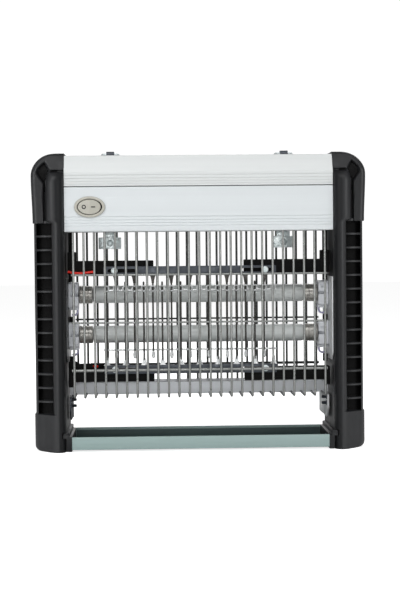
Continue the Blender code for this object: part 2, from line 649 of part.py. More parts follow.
def build_holder(row, side_name, side, z):
    """A lamp holder: a body with a round recess, a slot to the front and a rotor in the recess."""
    back = CAGE_X - HOLDER_BACK
    rotor_back = back - GAP
    rotor_face = HOLDER_FACE_X + GAP
    slot_end = rotor_back - ROTOR_BACK
    depth = HOLDER_DEPTH / 2
    height = HOLDER_HEIGHT / 2
    shape = bmesh.new()
    add_box(shape, (side * HOLDER_FACE_X, -depth, z - height), (side * CAGE_X, depth, z + height))
    holder = make(f"{row}_{side_name}_lamp_holder", shape, HOLDER_WHITE)
    shape = bmesh.new()
    tail_x = HOLDER_FACE_X + HOLDER_THICKNESS / 3
    tail_low = z - height - HOLDER_TAIL
    tail_high = z - height + WELD_BITE
    width = HOLDER_TAIL / 4
    hook = [(tail_x + width, tail_high), (tail_x, tail_high), (tail_x, tail_low)]
    hook += [(tail_x + 2.4 * width, tail_low), (tail_x + 2.4 * width, tail_low + width)]
    hook += [(tail_x + width, tail_low + width)]
    add_prism(shape, [(side * x, height_z) for x, height_z in hook], "Y", -width, width)
    combine(holder, "UNION", shape)
    shape = bmesh.new()
    bore = ROTOR_RADIUS + GAP
    add_rod(shape, (side * (HOLDER_FACE_X - GAP), 0.0, z), (side * back, 0.0, z), bore, 16)
    combine(holder, "DIFFERENCE", shape)
    shape = bmesh.new()
    slot = (side * (HOLDER_FACE_X - GAP), -DEPTH / 2, z - PIN_SLOT / 2)
    add_box(shape, slot, (side * slot_end, 0.0, z + PIN_SLOT / 2))
    combine(holder, "DIFFERENCE", shape)

    shape = bmesh.new()
    add_rod(shape, (side * rotor_face, 0.0, z), (side * rotor_back, 0.0, z), ROTOR_RADIUS, 16)
    rotor = make(
        f"{row}_{side_name}_holder_rotor", shape, HOLDER_WHITE, origin=(0.0, 0.0, z), smooth=True
    )
    shape = bmesh.new()
    slot = (side * (HOLDER_FACE_X - GAP), -PIN_SLOT / 2, z - 2 * ROTOR_RADIUS)
    add_box(shape, slot, (side * slot_end, PIN_SLOT / 2, z + 2 * ROTOR_RADIUS))
    combine(rotor, "DIFFERENCE", shape)


# Guard.


def guard_positions():
    """X of each guard wire."""
    return [(i - (GUARD_WIRES - 1) / 2) * GUARD_PITCH for i in range(GUARD_WIRES)]


def build_guard_face(name, facing):
    """An upright grille: straight wires with a bent foot, welded to three crossbars."""
    radius = GUARD_WIRE_RADIUS
    path = [(GUARD_Y, GUARD_TOP)]
    bend = (GUARD_Y - GUARD_BEND, GUARD_FLOOR_Z + GUARD_BEND)
    path += arc(bend, GUARD_BEND, 0, -90, GUARD_BEND_STEPS)
    normals = [(1.0, 0.0)] + arc((0.0, 0.0), 1.0, 0, -90, GUARD_BEND_STEPS)
    shape = bmesh.new()
    for x in guard_positions():
        rings = []
        for (y, z), (ny, nz) in zip(path, normals):
            ring = []
            for i in range(6):
                turn = math.radians(60 * i)
                out = radius * math.cos(turn)
                ring.append((x + radius * math.sin(turn), facing * (y + out * ny), z + out * nz))
            rings.append(ring)
        add_loft(shape, rings)
    face = make(name, shape, WIRE_GREY, smooth=True)
    shape = bmesh.new()
    reach = guard_positions()[-1] + 2 * radius
    for bar, z in zip(CROSSBAR_RADII, CROSSBAR_HEIGHTS):
        y = facing * (GUARD_Y - radius - bar + WELD_BITE)
        add_rod(shape, (-reach, y, z), (reach, y, z), bar, 6)
    combine(face, "UNION", shape)


def build_guard_floor():
    """The wires below the lamps, welded to a rod that lies on them behind the rail."""
    radius = GUARD_WIRE_RADIUS
    end = GUARD_Y - GUARD_BEND - GAP
    shape = bmesh.new()
    for x in guard_positions():
        add_rod(shape, (x, -end, GUARD_FLOOR_Z), (x, end, GUARD_FLOOR_Z), radius, 6)
    floor = make("guard_floor", shape, WIRE_GREY, smooth=True)
    shape = bmesh.new()
    reach = guard_positions()[-1] + 2 * radius
    y = RAIL_FRONT + FLOOR_ROD_SETBACK
    z = GUARD_FLOOR_Z + 2 * radius - WELD_BITE
    add_rod(shape, (-reach, y, z), (reach, y, z), radius, 6)
    combine(floor, "UNION", shape)


# Charged grid.


def grid_positions(first):
    """X of every second grid wire, from the first or the second one."""
    half = (GRID_WIRES - 1) / 2
    return [GRID_SHIFT + (i - half) * GRID_PITCH for i in range(first, GRID_WIRES, 2)]


def build_electrode(name, bar_z, up, tip_z, first):
    """A flat bar with slotted ends, tapered tabs and the wires that hang or stand on them."""
    half = GRID_BAR_LENGTH / 2
    thick = GRID_BAR_THICKNESS / 2
    height = GRID_BAR_HEIGHT / 2
    slot = GRID_SLOT_HEIGHT / 2
    shape = bmesh.new()
    low = (GRID_SHIFT - half, GRID_Y - thick, bar_z - height)
    add_box(shape, low, (GRID_SHIFT + half, GRID_Y + thick, bar_z + height))
    bar = make(name, shape, GRID_STEEL)
    edge = bar_z + up * height
    shape = bmesh.new()
    for x in grid_positions(first):
        tab = [
            (x - GRID_TAB_WIDTH / 2, edge - up * WELD_BITE),
            (x + GRID_TAB_WIDTH / 2, edge - up * WELD_BITE),
            (x + GRID_TAB_TIP_WIDTH / 2, edge + up * GRID_TAB_HEIGHT),
            (x - GRID_TAB_TIP_WIDTH / 2, edge + up * GRID_TAB_HEIGHT),
        ]
        add_prism(shape, tab, "Y", GRID_Y - thick / 2, GRID_Y + thick / 2)
    combine(bar, "UNION", shape)
    shape = bmesh.new()
    for x in grid_positions(first):
        start = edge + up * (GRID_TAB_HEIGHT - 2 * GRID_WIRE_RADIUS)
        add_rod(shape, (x, GRID_Y, start), (x, GRID_Y, tip_z), GRID_WIRE_RADIUS, 6)
    combine(bar, "UNION", shape)
    shape = bmesh.new()
    for side in SIDES.values():
        outer = GRID_SHIFT + side * (half - GRID_BAR_HEIGHT / 2)
        inner = outer - side * GRID_SLOT_LENGTH
        low = (min(outer, inner), GRID_Y - 2 * thick, bar_z - slot)
        add_box(shape, low, (max(outer, inner), GRID_Y + 2 * thick, bar_z + slot))
    combine(bar, "DIFFERENCE", shape)


def build_spacer(name, z):
    """A thin strip behind the grid wires that keeps them apart."""
    half = GRID_BAR_LENGTH / 2
    near = GRID_Y + GRID_WIRE_RADIUS + GAP
    low = (GRID_SHIFT - half, near, z - SPACER_HEIGHT / 2)
    shape = bmesh.new()
    add_box(shape, low, (GRID_SHIFT + half, near + SPACER_THICKNESS, z + SPACER_HEIGHT / 2))
    make(name, shape, ZINC)


def build_insulator(name, side, z, up, bar_z):
    """A black bar from a post to the grid, with a raised end and a screw hole."""
    half = INSULATOR_HEIGHT / 2
    end_x = CAGE_X - INSULATOR_END_LENGTH
    tip_x = CAGE_X - INSULATOR_LENGTH
    back = INSULATOR_FRONT + INSULATOR_DEPTH
    outline = [(CAGE_X, z - up * half), (CAGE_X, z + up * (half + INSULATOR_END_HEIGHT))]
    outline += [(end_x, z + up * (half + INSULATOR_END_HEIGHT)), (end_x, z + up * half)]
    outline += [(tip_x, z + up * half), (tip_x, z - up * half)]
    shape = bmesh.new()
    add_prism(shape, [(side * x, height) for x, height in outline], "Y", INSULATOR_FRONT, back)
    insulator = make(name, shape, DEEP_BLACK)
    shape = bmesh.new()
    x = screw_x(side)
    add_rod(shape, (x, GRID_Y, bar_z), (x, back + GAP, bar_z), SCREW_HOLE_RADIUS, 10)
    combine(insulator, "DIFFERENCE", shape)


def screw_x(side):
    """X of the screw at one end of the grid's bars."""
    return GRID_SHIFT + side * (GRID_BAR_LENGTH / 2 - SCREW_INSET)


def build_screw(name, x, z, seat_y):
    """A cross-head screw, its head in front of a seat and its shank going back."""
    head_back = seat_y - GAP
    front = head_back - SCREW_HEAD_HEIGHT
    shape = bmesh.new()
    add_rod(shape, (x, front, z), (x, head_back, z), SCREW_HEAD_RADIUS, 12)
    screw = make(name, shape, ZINC, smooth=True)
    shape = bmesh.new()
    add_rod(shape, (x, head_back - WELD_BITE, z), (x, head_back + SCREW_SHANK_LENGTH, z), SCREW_SHANK_RADIUS)
    combine(screw, "UNION", shape)
    for across, up in ((SCREW_CROSS_LENGTH, SCREW_CROSS_WIDTH), (SCREW_CROSS_WIDTH, SCREW_CROSS_LENGTH)):
        shape = bmesh.new()
        low = (x - across / 2, front - SCREW_CROSS_DEPTH, z - up / 2)
        add_box(shape, low, (x + across / 2, front + SCREW_CROSS_DEPTH, z + up / 2))
        combine(screw, "DIFFERENCE", shape)


# Rail, brackets, clips and leads.


def build_rail():
    """An angle below the lamps: an upright front and a flat top that runs back."""
    front = RAIL_FRONT
    top = RAIL_BOTTOM + RAIL_HEIGHT
    thick = RAIL_THICKNESS
    outline = [(front, RAIL_BOTTOM), (front + thick, RAIL_BOTTOM), (front + thick, top - thick)]
    outline += [(front + RAIL_DEPTH, top - thick), (front + RAIL_DEPTH, top), (front, top)]
    shape = bmesh.new()
    add_prism(shape, outline, "X", -CAGE_X, CAGE_X)
    make("bottom_rail", shape, ALUMINIUM)


def build_side_plate(name, side):
    """A zinc plate that covers a post's inner face beside the cage, with a cut lower corner."""
    half = FACE_Y - SIDE_PLATE_SETBACK
    cut = SIDE_PLATE_CORNER
    outline = [(-half, SIDE_PLATE_BOTTOM + cut), (-half + cut, SIDE_PLATE_BOTTOM)]
    outline += [(half, SIDE_PLATE_BOTTOM), (half, GUARD_TOP), (-half, GUARD_TOP)]
    shape = bmesh.new()
    add_prism(shape, outline, "X", side * (BAY_X - SIDE_PLATE), side * BAY_X)
    make(name, shape, ZINC)


def build_side_bracket(name, side):
    """A zinc angle on the side plate, with a cut corner, a flange and two studs."""
    half = BRACKET_DEPTH / 2
    cut = BRACKET_DEPTH / 3
    outline = [(-half, BRACKET_BOTTOM + cut), (-half + cut, BRACKET_BOTTOM), (half, BRACKET_BOTTOM)]
    outline += [(half, BRACKET_TOP), (-half, BRACKET_TOP)]
    face = CAGE_X - BRACKET_THICKNESS
    shape = bmesh.new()
    add_prism(shape, outline, "X", side * face, side * CAGE_X)
    bracket = make(name, shape, ZINC)
    flange_y = half - BRACKET_THICKNESS
    tip = face - BRACKET_FLANGE
    flange = [(face + WELD_BITE, BRACKET_BOTTOM), (face + WELD_BITE, BRACKET_TOP), (tip, BRACKET_TOP)]
    flange.append((tip, BRACKET_BOTTOM + BRACKET_FLANGE))
    shape = bmesh.new()
    add_prism(shape, [(side * x, z) for x, z in flange], "Y", flange_y, half)
    combine(bracket, "UNION", shape)
    shape = bmesh.new()
    for z in STUD_HEIGHTS:
        tip = side * (face - STUD_LENGTH)
        add_rod(shape, (side * (face + WELD_BITE), -half / 2, z), (tip, -half / 2, z), STUD_RADIUS)
    combine(bracket, "UNION", shape)


def clip_plate_y():
    """Front of the clips, just inside the rear guard's crossbars."""
    return GUARD_Y - 2 * GUARD_WIRE_RADIUS - CLIP_THICKNESS - 2 * GAP


def build_clip(name, side):
    """A zinc strap under the housing that holds the top of the rear guard."""
    x = side * CLIP_X
    near = clip_plate_y()
    far = near + CLIP_THICKNESS
    top = GUARD_TOP - CLIP_TAB_HEIGHT
    low = top - CLIP_HEIGHT
    half = CLIP_WIDTH / 2
    tab = CLIP_TAB_WIDTH / 2
    outline = [(x - half, low), (x + half, low), (x + half, top), (x + tab, top), (x + tab, GUARD_TOP)]
    outline += [(x - tab, GUARD_TOP), (x - tab, top), (x - half, top)]
    shape = bmesh.new()
    add_prism(shape, outline, "Y", near, far)
    clip = make(name, shape, ZINC)
    shape = bmesh.new()
    hole_z = low + CLIP_HEIGHT / 2
    add_rod(shape, (x, near - GAP, hole_z), (x, far + GAP, hole_z), SCREW_HOLE_RADIUS, 10)
    combine(clip, "DIFFERENCE", shape)
    build_screw(f"{name}_screw", x, hole_z, near)


def build_lead(name, route):
    """A red lead through chosen points, as a smooth tube."""
    curve = bpy.data.curves.new(name, "CURVE")
    curve.dimensions = "3D"
    curve.bevel_depth = LEAD_RADIUS
    curve.bevel_resolution = 2
    curve.use_fill_caps = True
    points = smooth_route([Vector(point) for point in route])
    spline = curve.splines.new("POLY")
    spline.points.add(len(points) - 1)
    for stored, point in zip(spline.points, points):
        stored.co = (*point, 1.0)
    curve.materials.append(finish(name, *LEAD_RED))
    lead = bpy.data.objects.new(name, curve)
    bpy.context.scene.collection.objects.link(lead)


def smooth_route(route, steps=4):
    """Points on a smooth curve through a route's own points."""
    guides = [2 * route[0] - route[1], *route, 2 * route[-1] - route[-2]]
    points = [route[0]]
    for a, b, c, d in zip(guides, guides[1:], guides[2:], guides[3:]):
        for i in range(1, steps + 1):
            t = i / steps
            bend = (2 * a - 5 * b + 4 * c - d) * t * t + (3 * b - 3 * c + d - a) * t * t * t
            points.append((2 * b + (c - a) * t + bend) / 2)
    return points


def build_leads():
    """The two high-voltage leads, from the left post to the grid's bars."""
    front = INSULATOR_FRONT - GAP - LEAD_RADIUS
    end = -(CAGE_X - GAP)
    z = UPPER_BAR_Z - 1.2 * MM
    build_lead(
        "upper_grid_lead",
        [
            (end, front, z + 0.8 * MM),
            (end + 5 * MM, front - 0.3 * MM, z - 0.3 * MM),
            (end + 12 * MM, front - 0.4 * MM, z - 0.5 * MM),
            (end + 18 * MM, front - 0.2 * MM, z),
            (end + 23 * MM, front, z + 0.6 * MM),
        ],
    )
    z = LOWER_INSULATOR_Z + INSULATOR_HEIGHT / 2 + GAP + LEAD_RADIUS
    build_lead(
        "lower_grid_lead",
        [
            (end, -2 * MM, z + 1.6 * MM),
            (end + 6 * MM, -4 * MM, z + 0.8 * MM),
            (end + 14 * MM, -8 * MM, z + 0.2 * MM),
            (end + 20 * MM, -12 * MM, z),
            (end + 25 * MM, -15 * MM, z),
        ],
    )


# Hangers.


def build_hanger(side_name, side):
    """A plate with a strap over the hinge bar of a folding wire bail."""
    x = side * HANGER_X
    bottom = COVER_TOP + GAP
    half_depth = HANGER_PLATE_DEPTH / 2
    half = HANGER_PLATE_LENGTH / 2
    shape = bmesh.new()
    add_box(shape, (x - half, -half_depth, bottom), (x + half, half_depth, HANGER_PLATE_TOP))
    plate = make(f"{side_name}_hanger_plate", shape, ZINC)
    bore = BAIL_WIRE_RADIUS + BAIL_CLEARANCE
    crown = bore + HANGER_STRAP_THICKNESS
    seat = HANGER_PLATE_TOP - WELD_BITE
    outer = [(crown, seat)] + arc((0.0, BAIL_Z), crown, 0, 180, 8) + [(-crown, seat)]
    inner = [(-bore, seat)] + arc((0.0, BAIL_Z), bore, 180, 0, 8) + [(bore, seat)]
    shape = bmesh.new()
    add_prism(shape, outer + inner, "X", x - HANGER_STRAP_WIDTH / 2, x + HANGER_STRAP_WIDTH / 2)
    combine(plate, "UNION", shape)

    reach = BAIL_WIDTH / 2 - BAIL_WIRE_RADIUS
    corner = reach / 2
    loop = [Vector((-reach, 0.0)), Vector((reach, 0.0))]
    loop += [Vector(p) for p in arc((reach - corner, BAIL_REACH - corner), corner, 0, 90, 3)]
    loop += [Vector(p) for p in arc((corner - reach, BAIL_REACH - corner), corner, 90, 180, 3)]
    rings = []
    for i, point in enumerate(loop):
        before = (point - loop[i - 1]).normalized()
        after = (loop[(i + 1) % len(loop)] - point).normalized()
        tangent = (before + after).normalized()
        outward = Vector((tangent.y, -tangent.x)) / max(before.dot(tangent), 0.5)
        ring = []
        for j in range(8):
            turn = math.radians(45 * j)
            flat = point + outward * (BAIL_WIRE_RADIUS * math.cos(turn))
            ring.append((x + flat.x, flat.y, BAIL_Z + BAIL_WIRE_RADIUS * math.sin(turn)))
        rings.append(ring)
    shape = bmesh.new()
    loops = [[shape.verts.new(p) for p in ring] for ring in rings]
    for lower, upper in zip(loops, loops[1:] + loops[:1]):
        for j in range(8):
            k = (j + 1) % 8
            shape.faces.new((lower[j], lower[k], upper[k], upper[j]))
    make(f"{side_name}_hanger_bail", shape, ZINC, origin=(x, 0.0, BAIL_Z), smooth=True)


# Tray.


def build_tray():
    """A channel-shaped pan with a cap and a runner at each end."""
    wall = TRAY_WALL
    outline = [(TRAY_FRONT, TRAY_BOTTOM), (TRAY_REAR, TRAY_BOTTOM), (TRAY_REAR, TRAY_TOP)]
    outline += [(TRAY_REAR - wall, TRAY_TOP), (TRAY_REAR - wall, TRAY_BOTTOM + wall)]
    outline += [(TRAY_FRONT + wall, TRAY_BOTTOM + wall), (TRAY_FRONT + wall, TRAY_TOP)]
    outline += [(TRAY_FRONT, TRAY_TOP)]
    shape = bmesh.new()
    add_prism(shape, outline, "X", -TRAY_X, TRAY_X)
    make("tray_pan", shape, TEAL)
    low = RUNNER_BOTTOM + RUNNER_CLEARANCE
    high = RUNNER_BOTTOM + RUNNER_HEIGHT - RUNNER_CLEARANCE
    tip = INNER_X + RUNNER_DEPTH - RUNNER_CLEARANCE
    inner = TRAY_X + GAP
    step = inner + TRAY_CAP_LENGTH / 2
    section = [(inner, TRAY_CAP_CLEARANCE), (BAY_X, TRAY_CAP_CLEARANCE), (BAY_X, low), (tip, low)]
    section += [(tip, high), (step, high), (step, TRAY_TOP), (inner, TRAY_TOP)]
    for side_name, side in SIDES.items():
        shape = bmesh.new()
        outline = [(side * x, z) for x, z in section]
        add_prism(shape, outline, "Y", TRAY_FRONT, TRAY_REAR)
        make(f"tray_{side_name}_cap", shape, BLACK_PLASTIC)


def main():
    for thing in list(bpy.data.objects):
        bpy.data.objects.remove(thing, do_unlink=True)
    for side_name, side in SIDES.items():
        build_end_frame(f"{side_name}_end_frame", side)
        build_inner_panel(f"{side_name}_inner_panel", side)
        build_side_plate(f"{side_name}_side_plate", side)
        build_side_bracket(f"{side_name}_side_bracket", side)
        build_clip(f"{side_name}_guard_clip", side)
        build_hanger(side_name, side)
        build_insulator(f"upper_{side_name}_insulator", side, UPPER_INSULATOR_Z, 1, UPPER_BAR_Z)
        build_insulator(f"lower_{side_name}_insulator", side, LOWER_INSULATOR_Z, -1, LOWER_BAR_Z)
        for row, z in (("upper", UPPER_BAR_Z), ("lower", LOWER_BAR_Z)):
            seat = GRID_Y - GRID_BAR_THICKNESS / 2
            build_screw(f"{row}_{side_name}_grid_screw", screw_x(side), z, seat)
    build_housing_body()
    build_top_cover()
    build_switch()
    build_electrics()
    build_cable_gland()
    for row, z in LAMP_HEIGHTS.items():
        build_lamp(row, z)
        for side_name, side in SIDES.items():
            build_holder(row, side_name, side, z)
    build_guard_face("front_guard", -1)
    build_guard_face("rear_guard", 1)
    build_guard_floor()
    upper_tip = LOWER_BAR_Z + GRID_BAR_HEIGHT / 2 + GRID_REACH
    lower_tip = UPPER_BAR_Z - GRID_BAR_HEIGHT / 2 - GRID_REACH
    build_electrode("upper_electrode", UPPER_BAR_Z, -1, upper_tip, 1)
    build_electrode("lower_electrode", LOWER_BAR_Z, 1, lower_tip, 0)
    build_spacer("upper_wire_spacer", UPPER_BAR_Z - GRID_BAR_HEIGHT / 2 - SPACER_INSET)
    build_spacer("lower_wire_spacer", LOWER_BAR_Z + GRID_BAR_HEIGHT / 2 + SPACER_INSET)
    build_rail()
    build_leads()
    build_tray()


if __name__ == "__main__":
    main()
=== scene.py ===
"""Looks of a free-standing electric bug zapper, built round its fixed frame."""

import logging
import math
from collections.abc import Callable, Iterable, Sequence
from dataclasses import dataclass
from enum import Enum

import bmesh
import bpy
from mathutils import Matrix, Vector


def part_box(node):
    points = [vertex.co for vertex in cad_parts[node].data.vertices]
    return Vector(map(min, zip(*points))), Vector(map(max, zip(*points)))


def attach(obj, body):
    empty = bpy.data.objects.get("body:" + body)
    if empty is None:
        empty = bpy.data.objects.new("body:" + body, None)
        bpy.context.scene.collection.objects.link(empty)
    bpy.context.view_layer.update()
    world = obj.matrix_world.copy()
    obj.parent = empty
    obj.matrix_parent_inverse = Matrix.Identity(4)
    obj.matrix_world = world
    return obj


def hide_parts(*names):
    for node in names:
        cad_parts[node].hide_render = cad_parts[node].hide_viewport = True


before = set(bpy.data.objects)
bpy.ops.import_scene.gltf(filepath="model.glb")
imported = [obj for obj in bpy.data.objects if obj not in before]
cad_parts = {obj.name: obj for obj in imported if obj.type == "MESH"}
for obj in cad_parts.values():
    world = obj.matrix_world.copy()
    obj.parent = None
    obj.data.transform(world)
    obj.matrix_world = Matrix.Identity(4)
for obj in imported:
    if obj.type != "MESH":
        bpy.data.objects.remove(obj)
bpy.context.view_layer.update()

MM = 0.001
LOG = logging.getLogger("bug_zapper")

Flat = tuple[float, float]
Point = tuple[float, float, float]
Colour = tuple[float, float, float]
Piece = bpy.types.Object
Material = bpy.types.Material
Node = bpy.types.Node
Socket = bpy.types.NodeSocket
Tree = bpy.types.NodeTree


class Side(Enum):
    """The two ends of the unit, seen from the front."""

    LEFT = -1
    RIGHT = 1

    @property
    def word(self) -> str:
        """The side's name as the frame's nodes spell it."""
        return self.name.lower()


class Facing(Enum):
    """The two long faces of the unit."""

    FRONT = -1
    REAR = 1


class Row(Enum):
    """The upper and lower of two like pieces."""

    LOWER = -1
    UPPER = 1

    @property
    def word(self) -> str:
        """The row's name as the frame's nodes spell it."""
        return self.name.lower()


class Axis(Enum):
    """A direction that an outline is extruded along."""

    X = 0
    Y = 1
    Z = 2

    def point(self, u: float, v: float, along: float) -> Point:
        """The point at (u, v) across this axis and at a distance along it."""
        places = {Axis.X: (along, u, v), Axis.Y: (u, along, v), Axis.Z: (u, v, along)}
        return places[self]


# Outlines.


def arc(centre: Flat, radius: float, first: float, last: float, steps: int) -> list[Flat]:
    """Points along an arc.

    Args:
        centre: The arc's centre.
        radius: Its radius in metres.
        first: The angle where it starts, in degrees.
        last: The angle where it ends, in degrees.
        steps: How many chords it has.

    Returns:
        The points, both ends included.
    """
    turns = [math.radians(first + (last - first) * i / steps) for i in range(steps + 1)]
    return [(centre[0] + radius * math.cos(t), centre[1] + radius * math.sin(t)) for t in turns]


def ellipse(centre: Flat, width: float, height: float, steps: int = 64) -> list[Flat]:
    """Points round an ellipse of a full width and height."""
    turns = [math.tau * i / steps for i in range(steps)]
    half, tall = width / 2, height / 2
    return [(centre[0] + half * math.cos(t), centre[1] + tall * math.sin(t)) for t in turns]


def rounded(outline: Sequence[Flat], radius: float, steps: int = 3) -> list[Flat]:
    """An outline with every corner turned into a short curve.

    Args:
        outline: The closed outline's corners in order.
        radius: How far from a corner its curve starts, at most a third of a side.
        steps: How many chords each curve has.

    Returns:
        The rounded outline's points.
    """
    points: list[Flat] = []
    count = len(outline)
    for i in range(count):
        corner = Vector(outline[i])
        before = Vector(outline[i - 1]) - corner
        after = Vector(outline[(i + 1) % count]) - corner
        reach = min(radius, before.length / 3, after.length / 3)
        start = corner + before.normalized() * reach
        end = corner + after.normalized() * reach
        for step in range(steps + 1):
            t = step / steps
            spot = start * (1 - t) ** 2 + corner * (2 * t * (1 - t)) + end * t**2
            points.append((spot.x, spot.y))
    return points


def part_way(low: float, high: float, value: float) -> float:
    """How far a value is on the way from low to high, held between 0 and 1."""
    return min(max((value - low) / (high - low), 0.0), 1.0)


def smooth(low: float, high: float, value: float) -> float:
    """A smooth step from 0 at low to 1 at high."""
    t = part_way(low, high, value)
    return t * t * (3 - 2 * t)


def quarter(part: float) -> float:
    """How far a quarter circle of radius 1 has fallen at a part of its width."""
    return 1 - math.sqrt(max(1 - part * part, 0.0))


def flow(route: Sequence[Vector], steps: int = 6) -> list[Vector]:
    """Points on a smooth curve through a route's own points."""
    guides = [2 * route[0] - route[1], *route, 2 * route[-1] - route[-2]]
    points = [route[0]]
    for a, b, c, d in zip(guides, guides[1:], guides[2:], guides[3:]):
        for i in range(1, steps + 1):
            t = i / steps
            bend = (2 * a - 5 * b + 4 * c - d) * t * t + (3 * b - 3 * c + d - a) * t**3
            points.append((2 * b + (c - a) * t + bend) / 2)
    return points


def rectangle(low: Flat, high: Flat) -> list[Flat]:
    """The four corners of a rectangle between two opposite ones."""
    return [low, (high[0], low[1]), high, (low[0], high[1])]


def scaled(points: Iterable[Flat]) -> list[Flat]:
    """Points given in millimetres, in metres."""
    return [(u * MM, v * MM) for u, v in points]


def middle(node: str) -> Point:
    """The middle of a node's box."""
    return tuple((low + high) / 2 for low, high in zip(*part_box(node)))


def reach(low: Vector, high: Vector) -> list[float]:
    """A box's inner and outer distance from the unit's middle along X."""
    return sorted((abs(low.x), abs(high.x)))


def add_object(name: str, data: bpy.types.ID) -> Piece:
    """A new object in the scene."""
    thing = bpy.data.objects.new(name, data)
    bpy.context.scene.collection.objects.link(thing)
    return thing


def soften(piece: Piece, sharp: float = 35.0) -> None:
    """Shades a piece smooth, apart from edges sharper than an angle in degrees."""
    piece.data.shade_smooth()
    piece.data.set_sharp_from_angle(angle=math.radians(sharp))


def rename(piece: Piece, name: str) -> Piece:
    """Gives a piece and its mesh the same name."""
    piece.name = piece.data.name = name
    return piece


class Shape:
    """Collects closed bodies in one bmesh and turns them into a finished piece."""

    def __init__(self) -> None:
        """Starts with nothing in it."""
        self.mesh = bmesh.new()

    def loft(self, rings: Sequence[Sequence[Point]], loop: bool = False) -> "Shape":
        """Adds a body through rings of the same number of points.

        Args:
            rings: The rings in order.
            loop: Whether the last ring joins the first; otherwise both ends are closed.

        Returns:
            This shape.
        """
        loops = [[self.mesh.verts.new(point) for point in ring] for ring in rings]
        count = len(loops[0])
        if loop:
            loops.append(loops[0])
        else:
            self.mesh.faces.new(loops[0])
            self.mesh.faces.new(list(reversed(loops[-1])))
        for lower, upper in zip(loops, loops[1:]):
            for i in range(count):
                j = (i + 1) % count
                self.mesh.faces.new((lower[i], lower[j], upper[j], upper[i]))
        return self

    def prism(self, outline: Sequence[Flat], axis: Axis, low: float, high: float) -> "Shape":
        """Adds an outline extruded along an axis between two places."""
        return self.loft([[axis.point(u, v, a) for u, v in outline] for a in (low, high)])

    def box(self, low: Point, high: Point) -> "Shape":
        """Adds a box between two corners."""
        return self.prism(rectangle(low[:2], high[:2]), Axis.Z, low[2], high[2])

    def turned(
        self, profile: Sequence[Flat], start: Point, axis: Axis, sign: int = 1, steps: int = 32
    ) -> "Shape":
        """Adds a turned body.

        Args:
            profile: Distances along the axis with the radius at each.
            start: The point on the axis that the distances count from.
            axis: The axis it is turned about.
            sign: 1 or -1, the way along the axis that the distances go.
            steps: How many facets it has round the axis.

        Returns:
            This shape.
        """
        rings = []
        origin = Vector(start)
        for along, radius in profile:
            circle = ellipse((0.0, 0.0), 2 * radius, 2 * radius, steps)
            rings.append([origin + Vector(axis.point(u, v, sign * along)) for u, v in circle])
        return self.loft(rings)

    def tube(
        self, path: Sequence[Vector], radius: float, sides: int = 10, loop: bool = False
    ) -> "Shape":
        """Adds a round wire along a path.

        Args:
            path: The points on its middle line.
            radius: The wire's radius.
            sides: How many sides its section has.
            loop: Whether the path closes on itself.

        Returns:
            This shape.
        """
        count = len(path)
        rings = []
        across = Vector((0.0, 0.0, 1.0))
        for i, point in enumerate(path):
            if loop:
                along = (path[(i + 1) % count] - path[i - 1]).normalized()
            else:
                along = (path[min(i + 1, count - 1)] - path[max(i - 1, 0)]).normalized()
            if i == 0 and abs(along.dot(across)) > 0.9:
                across = Vector((0.0, 1.0, 0.0))
            across = (across - along * across.dot(along)).normalized()
            other = along.cross(across)
            turns = [math.tau * k / sides for k in range(sides)]
            rings.append(
                [point + radius * (across * math.cos(t) + other * math.sin(t)) for t in turns]
            )
        return self.loft(rings, loop)

    def finish(
        self,
        name: str,
        material: Material,
        sharp: float = 35.0,
        bevel: float = 0.0,
    ) -> Piece:
        """Turns the collected bodies into an object.

        Args:
            name: The object's name.
            material: Its material.
            sharp: Edges sharper than this angle in degrees stay sharp.
            bevel: The width that such edges are broken by, or 0.

        Returns:
            The object, with its modifiers applied.
        """
        bmesh.ops.recalc_face_normals(self.mesh, faces=self.mesh.faces)
        data = bpy.data.meshes.new(name)
        self.mesh.to_mesh(data)
        self.mesh.free()
        data.materials.append(material)
        piece = add_object(name, data)
        if bevel:
            break_edges(piece, bevel)
        soften(piece, sharp)
        return piece


def apply_modifiers(piece: Piece) -> None:
    """Replaces a piece's mesh with what its modifiers make of it, and removes them."""
    graph = bpy.context.evaluated_depsgraph_get()
    graph.update()
    data = bpy.data.meshes.new_from_object(piece.evaluated_get(graph), depsgraph=graph)
    piece.modifiers.clear()
    old = piece.data
    piece.data = data
    if isinstance(old, bpy.types.Mesh):
        bpy.data.meshes.remove(old)
    data.name = piece.name


def break_edges(piece: Piece, width: float) -> None:
    """Rounds a piece's sharp edges by a small width."""
    bevel = piece.modifiers.new("edges", "BEVEL")
    bevel.width = width
    bevel.segments = 2
    bevel.limit_method = "ANGLE"
    bevel.angle_limit = math.radians(38)
    bevel.use_clamp_overlap = True
    apply_modifiers(piece)


def combine(piece: Piece, shape: Shape, operation: str = "DIFFERENCE") -> None:
    """Cuts a shape out of a piece, or keeps what both share, and smooths the result.

    Args:
        piece: The piece that is changed.
        shape: The other body.
        operation: DIFFERENCE or INTERSECT.
    """
    tool = shape.finish("tool", piece.data.materials[0])
    boolean = piece.modifiers.new("tool", "BOOLEAN")
    boolean.operation = operation
    boolean.object = tool
    apply_modifiers(piece)
    bpy.data.objects.remove(tool, do_unlink=True)
    soften(piece)


def settle(
    piece: Piece, nodes: Sequence[str] = (), body: str = "frame"
) -> None:
    """Says which body a piece rides on and what it stands for.

    Args:
        piece: The finished piece.
        nodes: The frame's nodes that it replaces.
        body: The frame's body that it moves with.
    """
    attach(piece, body)
    if nodes:
        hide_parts(*nodes)
    LOG.info("%s on %s for %s", piece.name, body, ", ".join(nodes) or "itself")


# Materials.


def srgb(red: int, green: int, blue: int) -> Colour:
    """A colour given in screen values from 0 to 255, in linear light."""
    parts = [value / 255 for value in (red, green, blue)]
    return tuple(p / 12.92 if p <= 0.04045 else ((p + 0.055) / 1.055) ** 2.4 for p in parts)


